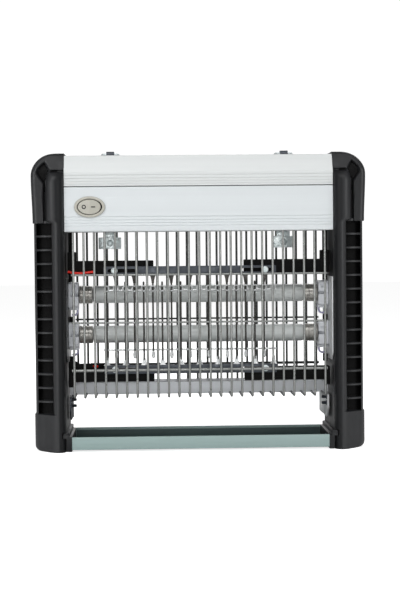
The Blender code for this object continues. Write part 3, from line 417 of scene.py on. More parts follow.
class Wiring:
    """Adds and joins nodes in one tree."""

    def __init__(self, tree: Tree) -> None:
        """Takes the tree to work in."""
        self.tree = tree

    def add(
        self, kind: str, values: dict[str | int, object] | None = None, **settings: object
    ) -> Node:
        """Adds a node.

        Args:
            kind: The node's type name.
            values: Input names or places with a value, or a socket that feeds them.
            settings: The node's own properties.

        Returns:
            The node.
        """
        node = self.tree.nodes.new(kind)
        for name, value in settings.items():
            setattr(node, name, value)
        for name, value in (values or {}).items():
            if isinstance(value, Socket):
                self.tree.links.new(value, node.inputs[name])
            else:
                node.inputs[name].default_value = value
        return node

    def join(self, result: Socket, target: Socket) -> None:
        """Feeds a result to an input."""
        self.tree.links.new(result, target)

    def math(self, operation: str, first: object, second: object = 0.0) -> Socket:
        """A Math node's result."""
        return self.add("ShaderNodeMath", {0: first, 1: second}, operation=operation).outputs[0]

    def remap(
        self, value: object, low: float, high: float, new_low: float, new_high: float
    ) -> Socket:
        """A value moved from one range to another, held inside it."""
        places = {0: value, 1: low, 2: high, 3: new_low, 4: new_high}
        return self.add("ShaderNodeMapRange", places, clamp=True).outputs[0]

    def blend(self, factor: object, first: object, second: object) -> Socket:
        """A mix of two colours."""
        places = {0: factor, 6: first, 7: second}
        return self.add("ShaderNodeMix", places, data_type="RGBA").outputs[2]

    def noise(
        self, vector: object, scale: object, detail: float = 3.0, rough: float = 0.5
    ) -> Socket:
        """A Noise texture's value."""
        places = {"Vector": vector, "Scale": scale, "Detail": detail, "Roughness": rough}
        return self.add("ShaderNodeTexNoise", places).outputs[0]


def make_group(
    name: str, inputs: dict[str, float], outputs: Iterable[str]
) -> tuple[Tree, Wiring, Node, Node]:
    """An empty shader group with its sockets.

    Args:
        name: The group's name.
        inputs: The names of its number inputs, with their defaults.
        outputs: The names of its number outputs.

    Returns:
        The group, its wiring, the input node and the output node.
    """
    group = bpy.data.node_groups.new(name, "ShaderNodeTree")
    kind = "NodeSocketFloat"
    for label, value in inputs.items():
        socket = group.interface.new_socket(label, in_out="INPUT", socket_type=kind)
        socket.default_value = value
    for label in outputs:
        group.interface.new_socket(label, in_out="OUTPUT", socket_type=kind)
    wiring = Wiring(group)
    source = wiring.add("NodeGroupInput")
    sink = wiring.add("NodeGroupOutput")
    return group, wiring, source, sink


def object_point(wiring: Wiring) -> Socket:
    """The Object coordinates."""
    return wiring.add("ShaderNodeTexCoord").outputs["Object"]


def mould_group() -> Tree:
    """Moulded plastic: fine pebble grain, slow mottling and rubbed patches."""
    inputs = {"Grain Scale": 1800.0, "Mottle Scale": 30.0, "Rub": 0.5}
    outputs = ["Height", "Mottle", "Polish"]
    group, wiring, source, sink = make_group("moulded_surface", inputs, outputs)
    where = object_point(wiring)
    cells = wiring.add(
        "ShaderNodeTexVoronoi", {"Vector": where, "Scale": source.outputs["Grain Scale"]}
    )
    fine = wiring.noise(where, source.outputs["Grain Scale"], 2.0)
    height = wiring.math("MULTIPLY", cells.outputs["Distance"], 0.6)
    height = wiring.math("ADD", height, wiring.math("MULTIPLY", fine, 0.4))
    mottle = wiring.noise(where, source.outputs["Mottle Scale"], 4.0, 0.6)
    finer = wiring.math("MULTIPLY", source.outputs["Mottle Scale"], 4.0)
    patches = wiring.noise(where, finer, 5.0)
    rubbed = wiring.remap(patches, 0.45, 0.75, 0.0, 1.0)
    wiring.join(height, sink.inputs["Height"])
    wiring.join(wiring.remap(mottle, 0.3, 0.7, 0.0, 1.0), sink.inputs["Mottle"])
    polish = wiring.math("MULTIPLY", rubbed, source.outputs["Rub"])
    wiring.join(polish, sink.inputs["Polish"])
    return group


def draw_group() -> Tree:
    """Drawn or extruded metal: fine lines along X, broad bands and small scratches."""
    inputs = {"Line Scale": 1500.0, "Band Scale": 90.0, "Scratch": 0.4}
    outputs = ["Height", "Band", "Mark"]
    group, wiring, source, sink = make_group("drawn_lines", inputs, outputs)
    where = object_point(wiring)
    stretch = wiring.add("ShaderNodeMapping", {"Vector": where, "Scale": (0.012, 1.0, 1.0)})
    lines = wiring.noise(stretch.outputs[0], source.outputs["Line Scale"], 2.0)
    band = wiring.noise(stretch.outputs[0], source.outputs["Band Scale"], 3.0)
    slant = wiring.add(
        "ShaderNodeMapping",
        {"Vector": where, "Rotation": (0.0, 0.5, 0.2), "Scale": (0.05, 1.0, 1.0)},
    )
    coarser = wiring.math("MULTIPLY", source.outputs["Line Scale"], 0.4)
    mark = wiring.remap(wiring.noise(slant.outputs[0], coarser), 0.68, 0.78, 0.0, 1.0)
    mark = wiring.math("MULTIPLY", mark, source.outputs["Scratch"])
    wiring.join(lines, sink.inputs["Height"])
    wiring.join(wiring.remap(band, 0.35, 0.65, 0.0, 1.0), sink.inputs["Band"])
    wiring.join(mark, sink.inputs["Mark"])
    return group


def dust_group() -> Tree:
    """Dust: a mask that grows on faces turned upwards."""
    inputs = {"Amount": 0.5, "Speck Scale": 240.0}
    group, wiring, source, sink = make_group("settled_dust", inputs, ["Mask"])
    up = wiring.add("ShaderNodeNewGeometry").outputs["Normal"]
    up = wiring.add("ShaderNodeSeparateXYZ", {0: up}).outputs["Z"]
    flat = wiring.remap(up, 0.35, 1.0, 0.0, 1.0)
    specks = wiring.noise(object_point(wiring), source.outputs["Speck Scale"], 6.0, 0.7)
    spread = wiring.remap(specks, 0.35, 0.7, 0.15, 1.0)
    mask = wiring.math("MULTIPLY", wiring.math("MULTIPLY", flat, spread), source.outputs["Amount"])
    wiring.join(mask, sink.inputs["Mask"])
    return group


class Effects:
    """The shader groups that several materials share, each built once."""

    makers: dict[str, Callable[[], Tree]] = {
        "mould": mould_group,
        "draw": draw_group,
        "dust": dust_group,
    }
    made: dict[str, Tree] = {}

    @classmethod
    def place(cls, wiring: Wiring, name: str, **values: float) -> Node:
        """Adds a group to a material.

        Args:
            wiring: The material's wiring.
            name: The effect's short name.
            values: The group's inputs, with underscores for spaces.

        Returns:
            The group node.
        """
        if name not in cls.made:
            cls.made[name] = cls.makers[name]()
        node = wiring.add("ShaderNodeGroup", node_tree=cls.made[name])
        for label, value in values.items():
            node.inputs[label.replace("_", " ").title()].default_value = value
        return node


@dataclass(frozen=True)
class Finish:
    """What every finish has: a name, a colour and a plain shader."""

    name: str
    colour: Colour
    roughness: float
    metallic: float = 0.0
    coat: float = 0.0
    specular: float = 0.5

    def start(self) -> tuple[Material, Wiring, Node]:
        """A new material with its constant values set on the shader's own sockets."""
        material = bpy.data.materials.new(self.name)
        material.use_nodes = True
        wiring = Wiring(material.node_tree)
        shader = material.node_tree.nodes["Principled BSDF"]
        shader.inputs["Metallic"].default_value = self.metallic
        shader.inputs["Coat Weight"].default_value = self.coat
        shader.inputs["Coat Roughness"].default_value = 0.12
        shader.inputs["Specular IOR Level"].default_value = self.specular
        return material, wiring, shader

    def shade(self, factor: float) -> tuple[float, float, float, float]:
        """The colour made lighter or darker, with its alpha."""
        return (*(min(part * factor, 1.0) for part in self.colour), 1.0)

    def film(self, wiring: Wiring, where: object, axis: str, amount: float) -> object:
        """A mask of painted shade on the sides that look towards the unit's middle.

        Args:
            wiring: The material's wiring.
            where: The Object coordinates.
            axis: The axis across the unit's middle plane.
            amount: The mask's value where a side looks straight at it.

        Returns:
            The mask.
        """
        normal = wiring.add("ShaderNodeNewGeometry").outputs["Normal"]
        facing = wiring.add("ShaderNodeSeparateXYZ", {0: normal}).outputs[axis]
        place = wiring.add("ShaderNodeSeparateXYZ", {0: where}).outputs[axis]
        inwards = wiring.math("MULTIPLY", facing, wiring.math("SIGN", place))
        return wiring.remap(inwards, 0.3, -0.15, 0.0, amount)

    def gloss(self, wiring: Wiring, mask: object, low: float, high: float) -> object:
        """The roughness, changed by a factor where a mask is 0 and by another where it is 1."""
        return wiring.remap(mask, 0, 1, self.roughness * low, self.roughness * high)

    def dress(self, wiring: Wiring, shader: Node, feeds: Sequence[object], depth: float) -> None:
        """Feeds a colour, a roughness and a height to the shader.

        Args:
            wiring: The material's wiring.
            shader: Its shader.
            feeds: The colour, the roughness and the height.
            depth: The height's distance in metres.
        """
        tone, gloss, height = feeds
        wiring.join(tone, shader.inputs["Base Color"])
        wiring.join(gloss, shader.inputs["Roughness"])
        places = {"Height": height, "Strength": 0.6, "Distance": depth}
        wiring.join(wiring.add("ShaderNodeBump", places).outputs[0], shader.inputs["Normal"])


@dataclass(frozen=True)
class Moulded(Finish):
    """Moulded plastic with a fine grain."""

    grain: float = 1700.0
    depth: float = 0.02 * MM
    mottle: float = 30.0
    spread: float = 0.1
    dust: float = 0.15
    rub: float = 0.5
    # How far the sides that face the unit's middle are darkened: painted shade.
    inner_shade: float = 0.0

    def build(self) -> Material:
        """Makes the material."""
        material, wiring, shader = self.start()
        skin = Effects.place(
            wiring, "mould", grain_scale=self.grain, mottle_scale=self.mottle, rub=self.rub
        )
        dust = Effects.place(wiring, "dust", amount=self.dust)
        low, high = self.shade(1 - self.spread), self.shade(1 + self.spread)
        tone = wiring.blend(skin.outputs["Mottle"], low, high)
        tone = wiring.blend(dust.outputs["Mask"], tone, (0.45, 0.44, 0.42, 1.0))
        # Painted shade: the sides that face the unit's middle are darkened and lose some shine.
        if self.inner_shade:
            mask = self.film(wiring, object_point(wiring), "X", self.inner_shade)
            tone = wiring.blend(mask, tone, self.shade(0.3))
            shine = wiring.remap(mask, 0.0, self.inner_shade, self.specular, self.specular * 0.3)
            wiring.join(shine, shader.inputs["Specular IOR Level"])
        gloss = self.gloss(wiring, skin.outputs["Polish"], 1.0, 0.7)
        self.dress(wiring, shader, (tone, gloss, skin.outputs["Height"]), self.depth)
        return material


@dataclass(frozen=True)
class Drawn(Finish):
    """Extruded or drawn metal with lines along X."""

    lines: float = 1500.0
    bands: float = 90.0
    depth: float = 0.006 * MM
    spread: float = 0.03
    scratch: float = 0.25

    def build(self) -> Material:
        """Makes the material."""
        material, wiring, shader = self.start()
        skin = Effects.place(
            wiring, "draw", line_scale=self.lines, band_scale=self.bands, scratch=self.scratch
        )
        low, high = self.shade(1 - self.spread), self.shade(1 + self.spread)
        tone = wiring.blend(skin.outputs["Band"], low, high)
        tone = wiring.blend(skin.outputs["Mark"], tone, self.shade(1.25))
        gloss = self.gloss(wiring, skin.outputs["Band"], 0.9, 1.15)
        self.dress(wiring, shader, (tone, gloss, skin.outputs["Height"]), self.depth)
        return material


@dataclass(frozen=True)
class Plated(Finish):
    """Zinc plate with its cloudy crystals and a few dull spots."""

    cloud: float = 260.0
    spread: float = 0.14
    tint: Colour = (0.62, 0.68, 0.75)
    # How far the sides that face the unit's middle are darkened: painted shade.
    inner_shade: float = 0.0

    def build(self) -> Material:
        """Makes the material."""
        material, wiring, shader = self.start()
        where = object_point(wiring)
        cells = wiring.add("ShaderNodeTexVoronoi", {"Vector": where, "Scale": self.cloud})
        crystal = wiring.remap(cells.outputs["Color"], 0.2, 0.9, 0.0, 1.0)
        haze = wiring.remap(wiring.noise(where, self.cloud * 0.4, 4.0), 0.35, 0.7, 0.0, 1.0)
        tone = wiring.blend(crystal, self.shade(1 - self.spread), self.shade(1 + self.spread))
        tone = wiring.blend(wiring.math("MULTIPLY", haze, 0.4), tone, (*self.tint, 1.0))
        # Painted shade: the sides that face the unit's middle are darkened.
        if self.inner_shade:
            tone = wiring.blend(self.film(wiring, where, "Y", self.inner_shade), tone, self.shade(0.12))
        gloss = self.gloss(wiring, haze, 0.75, 1.4)
        grain = wiring.noise(where, self.cloud * 5, 3.0)
        self.dress(wiring, shader, (tone, gloss, grain), 0.01 * MM)
        return material


@dataclass(frozen=True)
class Frosted(Finish):
    """Coated lamp glass: a milky tube with faint cloudy bands and darker ends."""

    end: float = 94.0 * MM
    fade: float = 16.0 * MM
    end_colour: Colour = (0.2, 0.2, 0.2)

    def build(self) -> Material:
        """Makes the material."""
        material, wiring, shader = self.start()
        where = object_point(wiring)
        along = wiring.add("ShaderNodeSeparateXYZ", {0: where}).outputs["X"]
        reach = wiring.math("ABSOLUTE", along)
        near_end = wiring.remap(reach, self.end - self.fade, self.end, 0.0, 1.0)
        near_end = wiring.math("POWER", near_end, 2.0)
        cloud = wiring.noise(where, 70.0, 4.0, 0.6)
        cloud = wiring.remap(cloud, 0.3, 0.7, 0.0, 1.0)
        tone = wiring.blend(cloud, self.shade(0.93), self.shade(1.05))
        tone = wiring.blend(wiring.math("MULTIPLY", near_end, 0.35), tone, (*self.end_colour, 1.0))
        gloss = self.gloss(wiring, cloud, 0.85, 1.2)
        grain = wiring.noise(where, 2600.0, 2.0)
        self.dress(wiring, shader, (tone, gloss, grain), 0.006 * MM)
        return material


class Finishes:
    """Every material of the unit, built once and used by name."""

    def __init__(self) -> None:
        """Builds them all."""
        # The posts' sides towards the cage get painted shade.
        self.post = Moulded(
            "post_plastic", srgb(36, 37, 39), 0.42, spread=0.07, dust=0.012, inner_shade=0.6
        ).build()
        # Dark plastic for the inner panels; painted shade on the left side plate.
        self.panel = Moulded(
            "panel_plastic", srgb(26, 27, 29), 0.3, specular=0.3, dust=0.05
        ).build()
        # Near-black, for the real black parts and for painted shade in recesses.
        self.deep = Moulded(
            "deep_black_plastic", srgb(11, 11, 11), 0.6, specular=0.1, dust=0.004
        ).build()
        self.housing = Drawn("satin_extrusion", srgb(204, 209, 211), 0.5, metallic=0.15).build()
        self.cover = Drawn("cover_extrusion", srgb(205, 208, 208), 0.5, metallic=0.2).build()
        self.rail = Drawn("rail_extrusion", srgb(208, 211, 215), 0.42, metallic=0.25).build()
        self.switch = Moulded(
            "switch_plastic", srgb(172, 170, 160), 0.4, spread=0.03, dust=0.05
        ).build()
        self.mark = Moulded("mark_paint", srgb(30, 30, 28), 0.5, spread=0.05, dust=0.0).build()
        self.glass = Frosted("coated_glass", srgb(206, 210, 209), 0.42, coat=0.08).build()
        self.cap = Plated(
            "lamp_cap_metal", srgb(170, 168, 163), 0.32, 0.6, cloud=120.0, spread=0.08,
            tint=srgb(150, 148, 144),
        ).build()
        self.holder = Moulded(
            "holder_plastic", srgb(212, 215, 220), 0.4, spread=0.04, dust=0.1
        ).build()
        self.hook = Moulded(
            "hook_plastic", srgb(172, 168, 200), 0.4, spread=0.04, dust=0.1
        ).build()
        # The guard wires' sides towards the cage's middle get painted shade.
        self.wire = Plated(
            "guard_wire_finish", srgb(142, 144, 142), 0.36, 0.7, cloud=900.0, spread=0.05,
            tint=srgb(128, 130, 128), inner_shade=0.85,
        ).build()
        self.steel = Plated(
            "grid_steel", srgb(46, 43, 40), 0.3, 0.5, cloud=700.0, tint=srgb(40, 38, 36)
        ).build()
        self.bright = Plated(
            "bright_steel", srgb(196, 198, 198), 0.3, 0.6, cloud=700.0, tint=srgb(180, 184, 186)
        ).build()
        self.plate = Plated(
            "plate_zinc", srgb(208, 209, 209), 0.42, 0.2, cloud=300.0, spread=0.05,
            tint=srgb(190, 196, 200),
        ).build()
        # Dark steel for the bars, studs and hangers; painted shade on the left bracket and the
        # rail's shelf.
        self.dark_steel_and_shade = Plated(
            "dark_strip", srgb(74, 78, 84), 0.42, 0.6, cloud=300.0, spread=0.04,
            tint=srgb(70, 74, 82),
        ).build()
        self.zinc = Plated(
            "zinc_plate", srgb(228, 236, 236), 0.3, 0.3, cloud=500.0, tint=srgb(205, 220, 222)
        ).build()
        self.tray = Drawn(
            "tray_paint", srgb(142, 162, 160), 0.45, metallic=0.1, scratch=0.3
        ).build()
        # Darker teal for the pan's inside: painted shade.
        self.tray_shade = Drawn("tray_painted_shade", srgb(66, 84, 84), 0.4, metallic=0.1).build()
        self.lead = Moulded("lead_sleeve", srgb(235, 32, 8), 0.35, spread=0.05, dust=0.0).build()
        self.board = Moulded("board_resin", srgb(40, 110, 60), 0.4, dust=0.2).build()
        self.film = Moulded("capacitor_film", srgb(205, 160, 60), 0.35, dust=0.2).build()


# Repeating pieces.


class RowTool:
    """Geometry Nodes trees that repeat one piece, or one swept wire, at an even step."""

    trees: dict[bool, Tree] = {}

    @classmethod
    def tree(cls, swept: bool) -> Tree:
        """The tree for a ready piece, or for a path that is swept into a wire first."""
        if swept not in cls.trees:
            cls.trees[swept] = cls.build(swept)
        return cls.trees[swept]

    @classmethod
    def build(cls, swept: bool) -> Tree:
        """Builds one of the two trees.

        Args:
            swept: Whether the input is a path that becomes a round wire.

        Returns:
            The tree, ending in Realize Instances and Set Material.
        """
        tree = bpy.data.node_groups.new("wire_row" if swept else "piece_row", "GeometryNodeTree")
        sockets = [("Piece", "Geometry"), ("Count", "Int"), ("Start", "Vector")]
        sockets += [("Step", "Vector"), ("Finish", "Material")]
        if swept:
            sockets += [("Radius", "Float"), ("Sides", "Int")]
        for label, kind in sockets:
            tree.interface.new_socket(label, in_out="INPUT", socket_type=f"NodeSocket{kind}")
        tree.interface.new_socket("Row", in_out="OUTPUT", socket_type="NodeSocketGeometry")
        wiring = Wiring(tree)
        source = wiring.add("NodeGroupInput").outputs
        piece = source["Piece"]
        if swept:
            curve = wiring.add("GeometryNodeMeshToCurve", {"Mesh": piece}).outputs[0]
            circle = wiring.add(
                "GeometryNodeCurvePrimitiveCircle",
                {"Resolution": source["Sides"], "Radius": source["Radius"]},
            ).outputs[0]
            places = {"Curve": curve, "Profile Curve": circle, "Fill Caps": True}
            piece = wiring.add("GeometryNodeCurveToMesh", places).outputs[0]
        places = {"Count": source["Count"], "Start Location": source["Start"]}
        places["Offset"] = source["Step"]
        line = wiring.add("GeometryNodeMeshLine", places, mode="OFFSET").outputs[0]
        row = wiring.add("GeometryNodeInstanceOnPoints", {"Points": line, "Instance": piece})
        real = wiring.add("GeometryNodeRealizeInstances", {"Geometry": row.outputs[0]})
        dressed = wiring.add(
            "GeometryNodeSetMaterial", {"Geometry": real.outputs[0], "Material": source["Finish"]}
        )
        sink = wiring.add("NodeGroupOutput")
        tree.links.new(dressed.outputs[0], sink.inputs["Row"])
        return tree

    @classmethod
    def run(cls, piece: Piece, swept: bool, values: dict[str, object]) -> Piece:
        """Gives a piece the tree with its inputs, and turns the result into a plain mesh.

        Args:
            piece: The object that holds the unit or the path.
            swept: Which of the two trees.
            values: The tree's inputs by name.

        Returns:
            The piece.
        """
        tree = cls.tree(swept)
        modifier = piece.modifiers.new("row", "NODES")
        modifier.node_group = tree
        for item in tree.interface.items_tree:
            if item.in_out == "INPUT" and item.name in values:
                modifier[item.identifier] = values[item.name]
        apply_modifiers(piece)
        return piece

    @classmethod
    def pieces(cls, unit: Piece, count: int, start: Point, step: Point) -> Piece:
        """Repeats a unit.

        Args:
            unit: The object, with its material, that is placed first at start.
            count: How many there are.
            start: What is added to the first one's place.
            step: What is added from one to the next.

        Returns:
            The row, in the unit's object.
        """
        values = {"Count": count, "Start": start, "Step": step, "Finish": unit.data.materials[0]}
        return cls.run(unit, False, values)

    @classmethod
    def wires(
        cls,
        name: str,
        path: Sequence[Point],
        radius: float,
        material: Material,
        count: int = 1,
        step: Point = (0.0, 0.0, 0.0),
        sides: int = 12,
    ) -> Piece:
        """Sweeps a path into a round wire and repeats it.

        Args:
            name: The object's name.
            path: The first wire's middle line.
            radius: The wire's radius.
            material: Its material.
            count: How many wires there are.
            step: What is added from one to the next.
            sides: How many sides a wire has.

        Returns:
            The row of wires.
        """
        data = bpy.data.meshes.new(name)
        data.from_pydata([tuple(p) for p in path], [(i, i + 1) for i in range(len(path) - 1)], [])
        piece = add_object(name, data)
        values = {"Count": count, "Start": (0.0, 0.0, 0.0), "Step": step, "Finish": material}
        values |= {"Radius": radius, "Sides": sides}
        cls.run(piece, True, values)
        shape = Shape()
        shape.mesh.from_mesh(piece.data)
        bmesh.ops.recalc_face_normals(shape.mesh, faces=shape.mesh.faces)
        shape.mesh.to_mesh(piece.data)
        shape.mesh.free()
        soften(piece, 50.0)
        return piece


def merge(name: str, pieces: Sequence[Piece]) -> Piece:
    """Puts several pieces' meshes into one object.

    Args:
        name: The new object's name.
        pieces: The pieces, which are removed.

    Returns:
        The object, with every piece's materials.
    """
    mesh = bmesh.new()
    materials: list[Material] = []
    for piece in pieces:
        start = len(mesh.faces)
        mesh.from_mesh(piece.data)
        mesh.faces.ensure_lookup_table()
        for face in mesh.faces[start:]:
            material = piece.data.materials[face.material_index]
            if material not in materials:
                materials.append(material)
            face.material_index = materials.index(material)
    data = bpy.data.meshes.new(name)
    mesh.to_mesh(data)
    mesh.free()
    for material in materials:
        data.materials.append(material)
    joined = add_object(name, data)
    for piece in pieces:
        bpy.data.objects.remove(piece, do_unlink=True)
    return rename(joined, name)


# Places, taken from the frame.

POST_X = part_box("right_end_frame")[1].x
COVER_LOW, COVER_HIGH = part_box("top_cover")
BODY_LOW, BODY_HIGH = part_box("housing_body")
GUARD_LOW, GUARD_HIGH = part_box("rear_guard")
UPPER_LOW, UPPER_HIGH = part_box("upper_electrode")
LOWER_LOW, LOWER_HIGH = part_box("lower_electrode")
FACE_Y = BODY_HIGH.y
BAY_X = BODY_HIGH.x
CAGE_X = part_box("bottom_rail")[1].x


@dataclass
class EndPost:
    """A moulded post: a foot, a ladder of pockets, a hollowed shoulder and half-round beads."""

    finishes: Finishes
    side: Side
    shell_x: float = 121.8 * MM
    foot_x: float = 144.4 * MM
    foot_start: float = 127.0 * MM
    foot_radius: float = 5.5 * MM
    ladder_x: float = 143.3 * MM
    ladder_start: float = 127.4 * MM
    taper: float = 1.2 * MM
    ladder_low: float = 32.5 * MM
    ladder_high: float = 198.0 * MM
    pockets: int = 14
    rib: float = 1.5 * MM
    pocket: float = 7.0 * MM
    side_pocket: float = 2.0 * MM
    strip: float = 2.4 * MM
    turn_back: float = 13.0 * MM
    shoulder_back: float = 4.5 * MM
    crown: float = 20.0 * MM
    crest: float = 258.6 * MM
    crease: float = 243.6 * MM
    lean: float = 0.48
    bead_x: float = 117.0 * MM
    bead_width: float = 10.4 * MM
    head_width: float = 14.8 * MM
    neck: float = 199.8 * MM
    head_top: float = 241.6 * MM
    dome: float = 9.5 * MM
    proud: float = 7.0 * MM

    def outer(self, z: float) -> float:
        """The shoulder's or foot's outer X at a height."""
        if z < self.ladder_low:
            drop = max(self.foot_radius - z, 0.0)
            return self.foot_x - self.foot_radius + math.sqrt(self.foot_radius**2 - drop**2)
        start = self.crest - self.crown
        rise = max(0.0, z - start)
        draw_in = self.taper * (1 - smooth(self.ladder_high, start, z))
        rim = math.sqrt(max(self.crown**2 - rise**2, 0.0))
        return POST_X - draw_in - self.crown + rim

    def face(self, z: float) -> float:
        """The front face's distance from the middle plane at a height."""
        edge = 2.2 * MM
        over = max(0.0, z - (self.crest - edge))
        slope = self.lean * max(0.0, z - self.crease)
        return FACE_Y - slope - edge * (1 - math.sqrt(max(1 - (over / edge) ** 2, 0.0)))

    def whole(self, half: Sequence[Flat], z: float) -> list[Point]:
        """A front half and its mirror image at a height, on this post's side."""
        points = [(x, -y) for x, y in half] + [(x, y) for x, y in reversed(half)]
        return [(self.side.value * x, y, z) for x, y in points]

    def swell(self, x: float) -> float:
        """How far the foot's front stands forward to meet the bead at an X."""
        crest = self.bead_x + self.bead_width / 2
        part = min(max((x - crest) / (15.0 * MM), 0.0), 1.0)
        return (self.proud - 0.1 * MM) * math.cos(part * math.pi / 2) ** 2

    def foot(self, shape: Shape) -> None:
        """The solid foot, its outer corners turned back in a wide curve."""
        rings = []
        heights = [0.0, 0.25, 0.8, 1.6, 2.6, 3.8, 5.5, 12.0, 22.0, 31.6, 32.2, 32.5]
        for height in heights:
            z = height * MM
            x = self.outer(min(z, self.ladder_low - 0.01 * MM))
            tuck = 0.3 * MM if height in (0.0, 32.5) else 0.0
            start = self.foot_start
            half = [(self.shell_x, FACE_Y - 1.2 * MM)]
            for i in range(5):
                place = self.shell_x + (start - self.shell_x) * i / 5
                half.append((place, FACE_Y - tuck + self.swell(place)))
            for i in range(17):
                turn = math.radians(90 * i / 16)
                place = start + (x - tuck - start) * math.sin(turn)
                y = FACE_Y - tuck - self.turn_back * (1 - math.cos(turn))
                half.append((place, y + self.swell(place)))
            half.append((x - tuck, 0.5 * (FACE_Y - self.turn_back)))
            rings.append(self.whole(half, z))
        shape.loft(rings)

    def ladder_half(self, cut: float, side_cut: float) -> list[Flat]:
        """The front half of the ladder's section with its pockets at a depth."""
        x, start = self.ladder_x, self.ladder_start

        def curve(place: float) -> float:
            """The section's curve without its pockets."""
            return FACE_Y - self.turn_back * quarter(part_way(start, x, place))

        edge = x - self.strip
        half = [(self.shell_x, FACE_Y - 1.2 * MM), (self.shell_x, FACE_Y), (start, FACE_Y)]
        for i in range(10):
            place = start + 0.15 * MM + (edge - start - 0.3 * MM) * i / 9
            swell = 0.3 * MM * math.sin(math.pi * i / 9) * min(cut / (2 * MM), 1.0)
            half.append((place, curve(place) - cut + swell))
        for i in range(6):
            part = (edge - start) / (x - start)
            turn = math.asin(part) + (math.pi / 2 - math.asin(part)) * i / 5
            y = FACE_Y - self.turn_back * (1 - math.cos(turn))
            half.append((start + (x - start) * math.sin(turn), y))
        back = FACE_Y - self.turn_back - 0.6 * MM
        half += [(x, back), (x - side_cut, back - 0.2 * MM), (x - side_cut, 0.3 * back)]
        return half

    def ladder(self, shape: Shape) -> None:
        """The part with two ladders of pockets on the front, the rear and the outer side."""
        low = self.ladder_low
        pitch = (self.ladder_high - low + self.rib) / self.pockets
        rings = [self.whole(self.ladder_half(0.0, 0.0), low - 2.0 * MM)]
        soft = 0.22 * MM
        for i in range(self.pockets):
            first = low + i * pitch
            last = first + pitch - self.rib
            stations = [(first, 0.0), (first + soft, 0.9), (first + 3 * soft, 1.0)]
            stations += [(last - 3 * soft, 1.0), (last - soft, 0.9), (last, 0.0)]
            for z, part in stations:
                half = self.ladder_half(self.pocket * part, self.side_pocket * part)
                rings.append(self.whole(half, z))
        rings.append(self.whole(self.ladder_half(0.0, 0.0), self.ladder_high + 2.0 * MM))
        shape.loft(rings)

    def hollow(self, x: float, z: float) -> float:
        """How deep the shoulder's hollow, groove and ledge are at a point of the front face."""
        corners = [(127.6, 244.0), (132.4, 251.9), (135.2, 250.2), (139.4, 245.6), (140.6, 241.5)]
        corners += [(138.0, 237.0), (134.3, 232.0), (130.5, 236.0)]
        inside = 1.0
        for (ax, az), (bx, bz) in zip(corners, corners[1:] + corners[:1]):
            length = math.hypot(bx - ax, bz - az)
            across = ((z / MM - az) * (bx - ax) - (x / MM - ax) * (bz - az)) / length
            inside = min(inside, -across / 2.4)
        depth = 3.6 * MM * smooth(0.0, 1.0, inside)
        slot = (1 - smooth(0.3, 1.4, abs(x / MM - 133.2))) * (1 - smooth(233.0, 240.0, z / MM))
        ledge = (1 - smooth(0.4, 1.5, abs(z / MM - 242.6))) * (1 - smooth(126.0, 130.0, x / MM))
        return max(depth, 3.0 * MM * slot, 2.2 * MM * ledge)

    def front(self, x: float, z: float) -> float:
        """The front surface's distance from the middle plane, leaving out what is cut into it."""
        if z < self.ladder_high:
            start, end, back, face = self.ladder_start, self.ladder_x, self.turn_back, FACE_Y
        else:
            end, back, face = self.outer(z), self.shoulder_back, self.face(z)
            start = end - self.shoulder_back
        return face - back * quarter(part_way(start, end, x))

    def blacken(self, piece: Piece, low: float) -> None:
        """Gives the faces that lie deep in the post above a height a near-black finish: painted
        shade in the pockets, the groove and the hollow.
        """
        piece.data.materials.append(self.finishes.deep)
        for face in piece.data.polygons:
            x, y, z = (abs(part) for part in face.center)
            sunk = self.front(x, z) - y
            inside = low < z and x < self.outer(z) - self.strip
            turned = max(abs(face.normal.x), face.normal.z) < 0.8
            if inside and turned and 1.3 * MM < sunk < 12 * MM:
                face.material_index = 1

    def shoulder(self, shape: Shape) -> None:
        """The part beside the housing, with its rounded rim, its groove and its hollow."""
        heights = [197.9, 198.2, 200.0, 205.0, 212.0, 219.0, 225.0, 229.0]
        heights += [230.0 + 0.75 * i for i in range(36)] + [257.2, 257.8, 258.2, 258.5, 258.6]
        rings = []
        for height in heights:
            z = height * MM
            tuck = 0.4 * MM if height < 198.0 else 0.0
            x = self.outer(z) - tuck
            face = self.face(z)
            start = x - self.shoulder_back
            half = [(self.shell_x, face - 1.6 * MM)]
            for i in range(41):
                t = i / 40
                place = self.shell_x + (x - self.shell_x) * (1 - (1 - t) ** 1.35)
                part = part_way(start, x, place)
                back = self.shoulder_back * quarter(part)
                limit = 1 - smooth(0.75, 1.0, part)
                y = face - tuck - back - self.hollow(place, z) * limit
                half.append((place, y))
            half.append((x, 0.5 * (face - self.shoulder_back)))
            rings.append(self.whole(half, z))
        shape.loft(rings)

    def bead(self, shape: Shape, facing: Facing) -> None:
        """The half-round bead, narrow below, wide beside the housing, with a domed top."""
        seat = FACE_Y - 5.0 * MM
        wide = self.head_width
        thin = self.bead_width
        neck = self.neck
        stations = [(0.0, thin - 0.8 * MM, 0.88), (0.5 * MM, thin, 1.0)]
        stations += [(neck - 2.4 * MM, thin, 1.0), (neck - 1.2 * MM, thin + 0.6 * MM, 1.0)]
        stations += [(neck, wide - 1.0 * MM, 1.0), (neck + 1.2 * MM, wide, 1.0)]
        for angle in range(0, 91, 6):
            turn = math.radians(angle)
            rise = self.head_top - self.dome + self.dome * math.sin(turn)
            width = wide - 4.5 * MM * (1 - math.cos(turn))
            stations.append((rise, width, math.cos(turn)))
        rings = []
        left = self.bead_x
        for z, width, part in stations:
            near = max(left, self.shell_x)
            ring = [(left + width, seat), (near, seat), (near, FACE_Y)]
            for i in range(29):
                turn = math.radians(180 * i / 28)
                depth = FACE_Y + self.proud * part * math.sin(turn)
                ring.append((left + width / 2 - width / 2 * math.cos(turn), depth))
            rings.append([(self.side.value * x, facing.value * y, z) for x, y in ring])
        shape.loft(rings)

